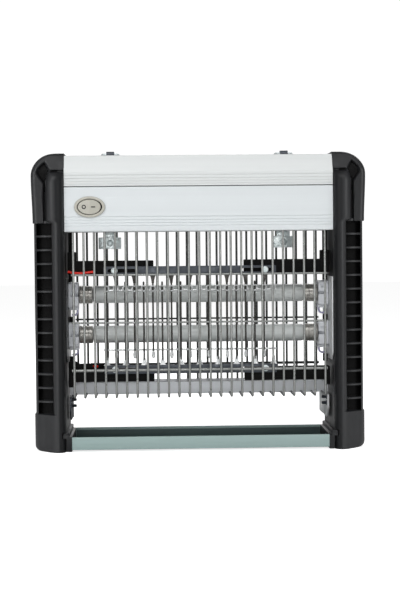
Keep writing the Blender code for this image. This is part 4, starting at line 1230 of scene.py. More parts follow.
    def runner_groove(self) -> Shape:
        """The groove that the tray's runner slides in."""
        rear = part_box("tray_pan")[1].y + 0.3 * MM
        near = (self.side.value * 114.0 * MM, -60 * MM, 11.9 * MM)
        return Shape().box(near, (self.side.value * 119.8 * MM, rear, 17.0 * MM))

    def panel(self) -> None:
        """The plate that closes the post towards the cage, with the shoulder's slope and ledge."""
        node = f"{self.side.word}_inner_panel"
        low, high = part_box(node)
        inner, outer = reach(low, high)
        front = []
        heights = [0.0, 239.0, 241.0, 241.5, 242.2, 243.0, 243.8]
        heights += [245.0, 250.0, 256.3, 257.2, 257.8, 258.3, 258.6]
        for height in heights:
            z = height * MM
            front.append((-min(self.face(z) - self.hollow(inner, z), high.y), z))
        outline = front + [(-y, z) for y, z in reversed(front)]
        sign = self.side.value
        shape = Shape().prism(outline, Axis.X, sign * inner, sign * (outer + 0.35 * MM))
        piece = shape.finish(f"{self.side.word}_post_panel", self.finishes.post)
        combine(piece, self.runner_groove())
        settle(piece, [node])

    def build(self) -> None:
        """Makes the post and its inner plate."""
        name = f"{self.side.word}_post"
        parts = []
        for make in (self.foot, self.ladder, self.shoulder):
            shape = Shape()
            make(shape)
            part = shape.finish(name, self.finishes.post)
            if make != self.foot:
                self.blacken(part, self.ladder_low)
            parts.append(part)
        beads = Shape()
        for facing in Facing:
            self.bead(beads, facing)
        parts.append(beads.finish("beads", self.finishes.post))
        post = merge(name, parts)
        combine(post, self.runner_groove())
        settle(post, [f"{self.side.word}_end_frame"])
        self.panel()


@dataclass
class Housing:
    """The lower channel and the cover, two extrusions with fine grooves."""

    finishes: Finishes
    wall: float = 1.6 * MM
    groove: float = 0.5 * MM
    slope_height: float = 14.5 * MM
    slope_run: float = 7.0 * MM
    switch_hole: Flat = (24.2 * MM, 15.9 * MM)
    gland_hole: float = 8.6 * MM

    def grooved(self, lows: Sequence[float], height: float) -> list[Flat]:
        """Points up the front face with a shallow, slanted groove at each height."""
        points: list[Flat] = []
        for low in lows:
            points += [(-FACE_Y, low), (-FACE_Y + self.groove, low + 0.12 * MM)]
            points += [(-FACE_Y + self.groove, low + height - 0.12 * MM), (-FACE_Y, low + height)]
        return points

    def channel(self) -> Piece:
        """The lower channel, open at the top."""
        low, high = BODY_LOW.z, BODY_HIGH.z
        outer = [(-FACE_Y + 0.5 * MM, low), (-FACE_Y + 0.15 * MM, low + 0.15 * MM)]
        outer.append((-FACE_Y, low + 0.5 * MM))
        outer += self.grooved([low + h * MM for h in (4.6, 7.1, 9.6, 12.4)], 0.6 * MM)
        outer += [(-FACE_Y, high - 0.5 * MM), (-FACE_Y + 1.2 * MM, high)]
        inner = [(-FACE_Y + self.wall, high), (-FACE_Y + self.wall, low + self.wall)]
        front = outer + inner
        outline = front + [(-y, z) for y, z in reversed(front)]
        piece = Shape().prism(outline, Axis.X, -BAY_X, BAY_X).finish(
            "housing_channel", self.finishes.housing, 20
        )
        x, _, z = middle("switch_bezel")
        hole = ellipse((x, z), *self.switch_hole)
        combine(piece, Shape().prism(hole, Axis.Y, -FACE_Y - 3 * MM, -FACE_Y + 3 * MM))
        x, _, z = middle("cable_gland")
        hole = ellipse((x, z), self.gland_hole, self.gland_hole, 32)
        combine(piece, Shape().prism(hole, Axis.Y, FACE_Y - 3 * MM, FACE_Y + 3 * MM))
        return piece

    def cover(self) -> Piece:
        """The cover with its grooved band, sloping faces and flat top."""
        low, high = COVER_LOW.z, COVER_HIGH.z
        slope = high - self.slope_height
        outer = [(-FACE_Y + 1.2 * MM, low), (-FACE_Y, low + 0.3 * MM)]
        outer += self.grooved([low + h * MM for h in (1.7, 4.1, 6.5, 9.3)], 0.6 * MM)
        outer.append((-FACE_Y, slope))
        top_y = -FACE_Y + self.slope_run
        outer += [(top_y - 0.35 * MM, high - 0.75 * MM), (top_y, high - 0.2 * MM)]
        outer.append((top_y + 0.7 * MM, high))
        for y in (-26.0, -22.0, -18.0):
            outer += [(y * MM, high), ((y + 0.15) * MM, high - 0.3 * MM)]
            outer += [((y + 0.65) * MM, high - 0.3 * MM), ((y + 0.8) * MM, high)]
        inner = [(-FACE_Y + self.slope_run + self.wall / 2, high - self.wall)]
        inner += [(-FACE_Y + self.wall, slope - self.wall / 4), (-FACE_Y + self.wall, low)]
        outline = outer + [(-y, z) for y, z in reversed(outer)]
        outline += [(-y, z) for y, z in reversed(inner)] + inner
        return Shape().prism(outline, Axis.X, -BAY_X, BAY_X).finish(
            "housing_cover", self.finishes.cover, 20
        )

    def build(self) -> None:
        """Makes both extrusions."""
        settle(self.channel(), ["housing_body"])
        # A near-black strip behind the joint of cover and channel: painted shade in the joint.
        seam = Shape()
        for sign in (-1, 1):
            near, far = sorted((sign * (FACE_Y - 1.1 * MM), sign * (FACE_Y - 1.7 * MM)))
            seam.box((-BAY_X, near, 228.0 * MM), (BAY_X, far, 231.0 * MM))
        settle(seam.finish("housing_seam_shade", self.finishes.deep))
        settle(self.cover(), ["top_cover"])


@dataclass
class Switch:
    """An oval bezel and a rocker that tips in it, with its two marks."""

    finishes: Finishes
    throw: float = 20.0
    crest: float = 3.3 * MM
    rear: float = 2.5 * MM
    half: float = 10.35 * MM
    flat_left: float = 0.92
    recess: Flat = (21.6 * MM, 13.7 * MM)

    def __post_init__(self) -> None:
        """Reads the switch's place."""
        low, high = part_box("switch_bezel")
        self.x, _, self.z = middle("switch_bezel")
        self.width, self.height = high.x - low.x, high.z - low.z
        self.front, self.back = low.y, high.y

    def bezel(self) -> Piece:
        """The bezel with its rounded rim, its recess and the barrel behind it."""
        flange = self.front + 1.6 * MM
        barrel = (self.width - 3.0 * MM, self.height - 2.9 * MM)
        recess = self.recess
        stations = [(self.back, *barrel), (flange, *barrel), (flange, self.width, self.height)]
        stations += [(self.front + 0.75 * MM, self.width, self.height)]
        for angle in (25, 50, 75):
            turn = math.radians(angle)
            inset = 2.4 * MM * (1 - math.cos(turn))
            y = self.front + 0.75 * MM * (1 - math.sin(turn))
            stations.append((y, self.width - inset, self.height - inset))
        stations.append((self.front, self.width - 2.4 * MM, self.height - 2.4 * MM))
        stations.append((self.front + 0.15 * MM, recess[0] + 0.9 * MM, recess[1] + 0.9 * MM))
        stations.append((self.front + 0.5 * MM, *recess))
        stations.append((self.back - 1.0 * MM, *recess))
        rings = [
            [(x, y, z) for x, z in ellipse((self.x, self.z), width, height, 96)]
            for y, width, height in stations
        ]
        return Shape().loft(rings).finish("switch_rim", self.finishes.switch, 40)

    def rocker(self) -> Piece:
        """The rocker, flat on the left of its crest and dipping on the right."""
        low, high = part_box("switch_rocker")
        pivot_y = low.y + self.crest
        half = self.half
        tall = (high.z - low.z) / 2
        rings = []
        for angle in range(-80, 81, 8):
            turn = math.radians(angle)
            size = 2 * half * math.cos(turn)
            z = self.z + tall * math.sin(turn) / math.sin(math.radians(80))
            circle = ellipse((self.x, pivot_y), size, size, 72)
            part = self.flat_left
            rings.append([(min(x, self.x + (x - self.x) * part), y, z) for x, y in circle])
        rocker = Shape().loft(rings).finish("rocker", self.finishes.switch)
        crest = pivot_y - self.crest
        dip = half * math.tan(math.radians(self.throw))
        rear = pivot_y + self.rear
        face = [(-half, crest), (-0.8 * MM, crest), (-0.2 * MM, crest + 0.04 * MM)]
        face += [(0.6 * MM, crest + 0.25 * MM), (half, crest + dip), (half, rear), (-half, rear)]
        outline = [(self.x + 1.1 * x, y) for x, y in face]
        block = Shape().prism(outline, Axis.Z, self.z - 2 * tall, self.z + 2 * tall)
        combine(rocker, block, "INTERSECT")
        return rocker

    def marks(self) -> Piece:
        """The ring and the bar that tell the two positions apart."""
        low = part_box("switch_rocker")[0]
        y = low.y
        x = self.x - 4.9 * MM
        shape = Shape()
        rings = []
        for radius, depth in ((1.9, 0.05), (1.9, -0.1), (0.95, -0.1), (0.95, 0.05)):
            circle = ellipse((x, self.z), 2 * radius * MM, 2 * radius * MM, 40)
            rings.append([(u, y + depth * MM, v) for u, v in circle])
        shape.loft(rings, True)
        slope = math.tan(math.radians(self.throw)) / 1.1
        near, far, half = 1.4 * MM, 4.9 * MM, 0.5 * MM
        corners = []
        for raise_by in (-0.14 * MM, 0.1 * MM):
            ring = []
            for across, up in rectangle((near, -half), (far, half)):
                surface = y + 0.04 * MM + slope * across
                ring.append((self.x + across, surface + raise_by, self.z + up))
            corners.append(ring)
        shape.loft(corners)
        return shape.finish("switch_marks", self.finishes.mark)

    def build(self) -> None:
        """Makes the bezel, the rocker and the marks."""
        settle(self.bezel(), ["switch_bezel"])
        settle(self.rocker(), ["switch_rocker"], "switch_rocker")
        settle(self.marks(), [], "switch_rocker")
        # A near-black sheet on the recess floor behind the rocker: painted shade.
        outline = ellipse((self.x, self.z), 21.5 * MM, 13.6 * MM, 48)
        shade_sheet = Shape().prism(outline, Axis.Y, self.back - 1.4 * MM, self.back - 0.9 * MM)
        settle(shade_sheet.finish("switch_recess_shade", self.finishes.deep))


@dataclass
class Lamp:
    """A coated tube with two crimped metal caps, which turns with its holders' rotors."""

    finishes: Finishes
    row: Row
    pin_radius: float = 1.15 * MM
    pin_spacing: float = 4.75 * MM
    pin_root: float = 11.5 * MM

    def __post_init__(self) -> None:
        """Reads the lamp's place."""
        low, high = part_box(f"{self.row.word}_lamp_tube")
        self.half, self.z = high.x, (low.z + high.z) / 2
        self.radius = (high.z - low.z) / 2
        self.body = f"{self.row.word}_lamp"

    def tube(self) -> Piece:
        """The glass, rounded where the caps grip it."""
        half = self.half
        profile = [(0.0, self.radius * 0.6), (0.25 * MM, self.radius - 1.0 * MM)]
        profile += [(0.9 * MM, self.radius - 0.3 * MM), (2.0 * MM, self.radius)]
        profile += [(2 * half - a, r) for a, r in reversed(profile)]
        start = (-half, 0.0, self.z)
        shape = Shape().turned(profile, start, Axis.X, 1, 64)
        return shape.finish(f"{self.row.word}_glass_tube", self.finishes.glass)

    def cap(self, side: Side) -> Piece:
        """A cap with a crimped band, a flange and two pins."""
        low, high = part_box(f"{self.row.word}_{side.word}_lamp_cap")
        inner, tip = reach(low, high)
        radius = (high.z - low.z) / 2
        steps = [(0.0, -0.5), (0.3, -0.12), (0.8, -0.1), (1.1, 0.0), (3.2, 0.0)]
        steps += [(3.5, -0.28), (4.1, -0.28), (4.4, 0.0), (8.6, 0.0), (8.9, -0.25)]
        steps += [(9.3, -0.25), (9.6, 0.0), (11.3, 0.0), (11.8, -0.35), (12.0, -1.1)]
        profile = [(a * MM, radius + r * MM) for a, r in steps]
        profile += [(12.0 * MM, 4.2 * MM), (11.7 * MM, 4.0 * MM), (11.7 * MM, 0.6 * MM)]
        start = (side.value * inner, 0.0, self.z)
        shape = Shape().turned(profile, start, Axis.X, side.value, 56)
        for pin in (-1, 1):
            z = self.z + pin * self.pin_spacing / 2
            start = (side.value * (inner + self.pin_root), 0.0, z)
            length = tip - inner - self.pin_root
            profile = [(0.0, self.pin_radius + 0.5 * MM), (0.6 * MM, self.pin_radius + 0.5 * MM)]
            profile += [(0.7 * MM, self.pin_radius), (length - 0.5 * MM, self.pin_radius)]
            profile.append((length, self.pin_radius * 0.5))
            shape.turned(profile, start, Axis.X, side.value, 16)
        return shape.finish(f"{self.row.word}_{side.word}_crimped_cap", self.finishes.cap)

    def rotor(self, side: Side) -> Piece:
        """The slotted drum in a holder that grips the lamp's pins."""
        low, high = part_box(f"{self.row.word}_{side.word}_holder_rotor")
        inner, outer = reach(low, high)
        radius = (high.z - low.z) / 2
        length = outer - inner
        profile = [(0.0, radius - 0.5 * MM), (0.3 * MM, radius), (length, radius)]
        start = (side.value * inner, 0.0, self.z)
        name = f"{self.row.word}_{side.word}_rotor"
        drum = Shape().turned(profile, start, Axis.X, side.value, 40)
        piece = drum.finish(name, self.finishes.holder)
        slot = self.pin_radius + 0.35 * MM
        cut = Shape().box(
            (side.value * (inner - 1 * MM), -slot, self.z - 2 * radius),
            (side.value * (outer - 0.6 * MM), slot, self.z + 2 * radius),
        )
        combine(piece, cut)
        return piece

    def build(self) -> None:
        """Makes the tube, its caps and the rotors."""
        word = self.row.word
        settle(self.tube(), [f"{word}_lamp_tube"], self.body)
        for side in Side:
            settle(self.cap(side), [f"{word}_{side.word}_lamp_cap"], self.body)
            node = f"{word}_{side.word}_holder_rotor"
            settle(self.rotor(side), [node], self.body)


@dataclass
class LampHolder:
    """A moulded holder with ribs, an entry slot and a hook below it."""

    finishes: Finishes
    row: Row
    side: Side
    rotor_radius: float = 4.8 * MM
    hook: float = 8.0 * MM

    def build(self) -> None:
        """Makes the holder."""
        low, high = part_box(f"{self.row.word}_{self.side.word}_lamp_holder")
        inner, outer = reach(low, high)
        sign = self.side.value
        depth = high.y
        top = high.z
        bottom = low.z + self.hook
        z = (top + bottom) / 2
        outline = rounded(rectangle((-depth, bottom), (depth, top)), 2.2 * MM, 5)
        name = f"{self.row.word}_{self.side.word}_holder_block"
        rings = []
        stations = [(inner, 0.5), (inner + 0.4 * MM, 0.12), (inner + 0.9 * MM, 0.0), (outer, 0.0)]
        for x, shrink in stations:
            scale_y = 1 - shrink * MM / depth
            scale_z = 1 - shrink * MM / (top - z)
            rings.append([(sign * x, y * scale_y, z + (v - z) * scale_z) for y, v in outline])
        piece = Shape().loft(rings).finish(name, self.finishes.holder)
        width = 2 * (self.rotor_radius + 0.3 * MM)
        bore = ellipse((0.0, z), width, width, 40)
        back = outer - 0.9 * MM
        combine(piece, Shape().prism(bore, Axis.X, sign * (inner - MM), sign * back))
        slot = 1.5 * MM
        near = (sign * (inner - MM), -30 * MM, z - slot)
        combine(piece, Shape().box(near, (sign * (back - 0.9 * MM), 0.0, z + slot)))
        for height in (0.56, 0.76) if self.side is Side.LEFT else (0.64,):
            up = bottom + (top - bottom) * height + 1.6 * MM
            cut = Shape()
            near = (sign * (inner + 1.6 * MM), -depth - MM, up)
            cut.box(near, (sign * (inner + 6.0 * MM), -depth + 1.4 * MM, up + 1.0 * MM))
            combine(piece, cut)
        ribs = Shape()
        for y in (-0.62, 0.62):
            ribs.box(
                (sign * inner, y * depth - 0.6 * MM, bottom - 2.4 * MM),
                (sign * (outer - 0.4 * MM), y * depth + 0.6 * MM, bottom + 0.6 * MM),
            )
        path = [(1.4, 0.4), (1.1, -1.2), (1.1, -3.8), (1.7, -5.8)]
        path += [(3.2, -6.9), (4.8, -7.0), (6.2, -6.4)]
        route = flow([Vector((sign * (inner + x * MM), 0.0, bottom + v * MM)) for x, v in path], 4)
        rings = []
        for i, point in enumerate(route):
            ahead = (route[min(i + 1, len(route) - 1)] - route[max(i - 1, 0)]).normalized()
            across = Vector((ahead.z, 0.0, -ahead.x))
            ring = []
            for u, v in rectangle((-0.85, -2.0), (0.85, 2.0)):
                ring.append(point + across * (u * MM) + Vector((0.0, v * MM, 0.0)))
            rings.append(ring)
        hook = Shape().loft(rings).finish("hook", self.finishes.hook, bevel=0.15 * MM)
        ribs = ribs.finish("ribs", self.finishes.holder, bevel=0.15 * MM)
        piece = merge(name, [piece, ribs, hook])
        settle(piece, [f"{self.row.word}_{self.side.word}_lamp_holder"])


@dataclass
class Guard:
    """The cage of round wires with its crossbars."""

    finishes: Finishes
    wires: int = 25
    radius: float = 1.0 * MM
    bend: float = 1.8 * MM
    rod_y: float = 13.0 * MM
    crossbars: tuple[tuple[str, float, float], ...] = (
        ("upper", 152.9 * MM, 0.9 * MM),
        ("middle", 111.45 * MM, 0.8 * MM),
        ("lower", 70.0 * MM, 1.25 * MM),
    )

    def build(self) -> None:
        """Makes the bent wires and the crossbars."""
        low, high = GUARD_LOW, GUARD_HIGH
        y = high.y - self.radius
        floor = low.z + self.radius
        half = [(y, high.z + 0.6 * MM), (y, low.z + 60.0 * MM)]
        half += arc((y - self.bend, floor + self.bend), self.bend, 0, -90, 8)
        first = -(self.wires - 1) / 2 * self.pitch
        route = [(first, -v, z) for v, z in half] + [(first, v, z) for v, z in reversed(half)]
        step = (self.pitch, 0.0, 0.0)
        wires = RowTool.wires(
            "guard_wires", route, self.radius, self.finishes.wire, self.wires, step, 12
        )
        settle(wires, ["front_guard", "rear_guard", "guard_floor"])
        end = -first + 2 * self.radius
        for word, z, bar in self.crossbars:
            back = y - self.radius - bar + 0.3 * MM
            path = [(-end, -back, z), (end, -back, z)]
            step = (0.0, 2 * back, 0.0)
            name = f"{word}_crossbars"
            bars = RowTool.wires(name, path, bar, self.finishes.wire, 2, step, 14)
            settle(bars)
        rod_z = floor + 2 * self.radius - 0.3 * MM
        path = [(-end, self.rod_y, rod_z), (end, self.rod_y, rod_z)]
        rod = RowTool.wires("floor_crossbar", path, self.radius, self.finishes.wire)
        settle(rod)

    @property
    def pitch(self) -> float:
        """The distance from one wire to the next."""
        return 2 * (GUARD_HIGH.x - 2 * self.radius) / (self.wires - 1)


@dataclass
class Grid:
    """Two combs of wires that stand between each other, with their strips and clips."""

    finishes: Finishes
    wires: int = 19
    radius: float = 0.8 * MM
    bar_height: float = 7.6 * MM
    margin: float = 2.7 * MM
    slot: Flat = (26.0 * MM, 3.4 * MM)
    tab_length: float = 7.5 * MM
    upper_clips: float = 140.6 * MM
    lower_clips: float = 82.8 * MM

    def __post_init__(self) -> None:
        """Reads the grid's place."""
        self.low, self.high = UPPER_LOW, UPPER_HIGH
        self.y = (self.low.y + self.high.y) / 2
        self.pitch = (self.high.x - self.low.x - 2 * self.margin) / (self.wires - 1)
        self.first = self.low.x + self.margin

    def bar(self, row: Row, z: float) -> Piece:
        """A flat bar with a rounded slot near each end."""
        half = self.bar_height / 2
        thick = 1.0 * MM
        corners = rectangle((self.low.x, z - half), (self.high.x, z + half))
        outline = rounded(corners, 0.9 * MM)
        shape = Shape().prism(outline, Axis.Y, self.y - thick, self.y + thick)
        bar = shape.finish(f"{row.word}_bar", self.finishes.dark_steel_and_shade, bevel=0.15 * MM)
        length, height = self.slot
        for end, sign in ((self.low.x, 1), (self.high.x, -1)):
            near = end + sign * half
            far = near + sign * length
            centres = sorted((near + sign * height / 2, far - sign * height / 2))
            hole = arc((centres[1], z), height / 2, -90, 90, 8)
            hole += arc((centres[0], z), height / 2, 90, 270, 8)
            combine(bar, Shape().prism(hole, Axis.Y, self.y - 3 * MM, self.y + 3 * MM))
        return bar

    def tab(self, row: Row, edge: float) -> Piece:
        """The flared tab that holds a wire to its bar."""
        rings = []
        sizes = [(0.0, 6.4), (0.5, 5.6), (1.2, 4.7), (2.2, 3.9)]
        sizes += [(3.6, 3.2), (5.4, 2.6), (7.4, 2.2)]
        for rise, width in sizes:
            z = edge - row.value * (rise - 0.3) * MM
            ring = rectangle((-width / 2, -0.5), (width / 2, 0.5))
            rings.append([(x * MM, self.y + y * MM, z) for x, y in ring])
        material = self.finishes.steel if row is Row.UPPER else self.finishes.bright
        return Shape().loft(rings).finish("tab", material)

    def tooth(self, row: Row, tip: float, edge: float) -> Piece:
        """A wire from inside its tab to its tip."""
        up = -row.value
        start = edge + up * (self.tab_length - 3.0 * MM)
        length = abs(tip - start)
        taper = 0.6 * MM
        profile = [(0.0, self.radius), (length - taper, self.radius), (length, self.radius * 0.4)]
        shape = Shape().turned(profile, (0.0, self.y, start), Axis.Z, up, 10)
        return shape.finish("tooth", self.finishes.steel)

    def comb(self, row: Row, z: float, tip: float, first: int) -> None:
        """One comb: its bar and every second wire.

        Args:
            row: Which of the two combs.
            z: The height of its bar's middle.
            tip: The height where its wires end.
            first: The first wire's number.
        """
        edge = z - row.value * self.bar_height / 2
        count = len(range(first, self.wires, 2))
        start = (self.first + first * self.pitch, 0.0, 0.0)
        settle(self.bar(row, z), [f"{row.word}_electrode"])
        units = {"wires": self.tooth(row, tip, edge), "tabs": self.tab(row, edge)}
        for word, unit in units.items():
            teeth = RowTool.pieces(unit, count, start, (2 * self.pitch, 0.0, 0.0))
            settle(rename(teeth, f"{row.word}_comb_{word}"))

    def rings(self, row: Row, z: float) -> None:
        """The strip, and a rounded clip round every wire above or every second one below."""
        node = f"{row.word}_wire_spacer"
        low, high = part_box(node)
        every = row is Row.UPPER
        wide, tall, thick = (2.0, 2.3, 0.6) if every else (0.7, 2.6, 0.85)
        centre = Vector((0.0, self.y, z))
        loop = ellipse((0.0, 0.0), 2 * wide * MM, 2 * tall * MM, 20)
        path = [centre + Vector((x, 0.0, v)) for x, v in loop]
        unit = Shape().tube(path, thick * MM, 8, True).finish("clip", self.finishes.bright)
        count = self.wires if every else len(range(1, self.wires, 2))
        step = self.pitch if every else 2 * self.pitch
        first = self.first if every else self.first + self.pitch
        clips = RowTool.pieces(unit, count, (first, -0.9 * MM, 0.0), (step, 0.0, 0.0))
        settle(rename(clips, f"{row.word}_wire_clips"))
        outline = rounded(rectangle((low.y, low.z), (high.y, high.z)), 0.3 * MM)
        strip = Shape().prism(outline, Axis.X, low.x, high.x)
        settle(strip.finish(f"{row.word}_strip", self.finishes.bright), [node])

    def build(self) -> None:
        """Makes both combs, their strips and clips."""
        upper_z = UPPER_HIGH.z - self.bar_height / 2
        lower_z = LOWER_LOW.z + self.bar_height / 2
        self.comb(Row.UPPER, upper_z, UPPER_LOW.z, 1)
        self.comb(Row.LOWER, lower_z, LOWER_HIGH.z, 0)
        self.rings(Row.UPPER, self.upper_clips)
        self.rings(Row.LOWER, self.lower_clips)


class Screw:
    """A cross-head screw, made by itself."""

    @staticmethod
    def make(name: str, node: str, material: Material) -> None:
        """Makes a screw in a node's place.

        Args:
            name: The object's name.
            node: The frame's node, its head towards the front.
            material: Its material.
        """
        low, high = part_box(node)
        x, _, z = middle(node)
        radius = (high.x - low.x) / 2
        head, pitch = 1.6 * MM, 0.8 * MM
        profile = [(0.0, radius * 0.45), (0.12 * MM, radius * 0.72), (0.4 * MM, radius * 0.9)]
        profile += [(0.9 * MM, radius), (head - 0.2 * MM, radius), (head, radius - 0.2 * MM)]
        profile.append((head, 1.3 * MM))
        length = high.y - low.y
        turns = int((length - head - 1.2 * MM) / pitch)
        for i in range(turns):
            along = head + 0.3 * MM + i * pitch
            profile += [(along, 1.1 * MM), (along + 0.4 * MM, 1.35 * MM)]
        profile += [(length - 0.4 * MM, 1.1 * MM), (length, 0.6 * MM)]
        screw = Shape().turned(profile, (x, low.y, z), Axis.Y, 1, 28).finish(name, material)
        for across, up in ((1.7 * MM, 0.35 * MM), (0.35 * MM, 1.7 * MM)):
            cut = rectangle((x - across, z - up), (x + across, z + up))
            combine(screw, Shape().prism(cut, Axis.Y, low.y - MM, low.y + 0.9 * MM))
        settle(screw, [node])


@dataclass
class Insulators:
    """The four black bars that carry the grid, and the columns behind them."""

    finishes: Finishes
    end_length: float = 7.7 * MM
    end_height: float = 7.8 * MM

    def bar(self, row: Row, side: Side) -> None:
        """One bar with its raised end, two long grooves and rounded edges."""
        node = f"{row.word}_{side.word}_insulator"
        low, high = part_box(node)
        up = row.value
        flat = (low.z, high.z - self.end_height) if up > 0 else (low.z + self.end_height, high.z)
        near, far = flat if up > 0 else flat[::-1]
        tall = high.z if up > 0 else low.z
        inner, outer = reach(low, high)
        step = outer - self.end_length if up > 0 else outer - 0.5 * self.end_length
        tall = tall if up > 0 else far - 4.6 * MM
        outline = [(outer, near), (outer, tall), (step, tall), (step, far)]
        outline += [(inner, far), (inner, near)]
        outline = rounded([(side.value * x, z) for x, z in outline], 0.8 * MM)
        shape = Shape().prism(outline, Axis.Y, low.y, high.y)
        name = f"{row.word}_{side.word}_carrier"
        piece = shape.finish(name, self.finishes.deep, bevel=0.25 * MM)
        x, _, z = middle(f"{row.word}_{side.word}_grid_screw")
        hole = ellipse((x, z), 3.4 * MM, 3.4 * MM, 24)
        combine(piece, Shape().prism(hole, Axis.Y, low.y - MM, high.y + MM))
        for level in (0.33, 0.72):
            v = near + (far - near) * level
            ends = [side.value * x for x in (inner + 26 * MM, outer - 12 * MM)]
            cut = rectangle((ends[0], v - 0.4 * MM), (ends[1], v + 0.4 * MM))
            combine(piece, Shape().prism(cut, Axis.Y, low.y - MM, low.y + 0.5 * MM))
        settle(piece, [node])

    def columns(self) -> None:
        """The upright carriers beside the holders, in the lengths left between them."""
        for side in Side:
            sign = side.value
            shape = Shape()
            for low, high in ((146.4, 190.2), (111.0, 115.7), (74.0, 80.3)):
                outline = rectangle((CAGE_X - 3.8 * MM, -3.0 * MM), (CAGE_X, 3.0 * MM))
                outline = rounded([(sign * x, y) for x, y in outline], 0.5 * MM)
                shape.prism(outline, Axis.Z, low * MM, high * MM)
            piece = shape.finish(f"{side.word}_carrier_column", self.finishes.deep)
            settle(piece)

    def build(self) -> None:
        """Makes the bars, their screws and the columns."""
        band = Shape()
        outline = [(-114.9, 70.6), (-114.9, 77.2), (-108.0, 77.2), (-106.0, 75.2), (-95.5, 75.2)]
        outline += [(-93.4, 73.0), (-93.4, 70.6)]
        band.prism(scaled(outline), Axis.Y, -20.2 * MM, -18.6 * MM)
        band.box((-96.0 * MM, -12.6 * MM, 70.6 * MM), (-82.8 * MM, -11.0 * MM, 75.0 * MM))
        settle(band.finish("lead_cover", self.finishes.deep, bevel=0.2 * MM))
        for row in Row:
            for side in Side:
                self.bar(row, side)
                name = f"{row.word}_{side.word}_cross_screw"
                Screw.make(name, f"{row.word}_{side.word}_grid_screw", self.finishes.zinc)
        self.columns()


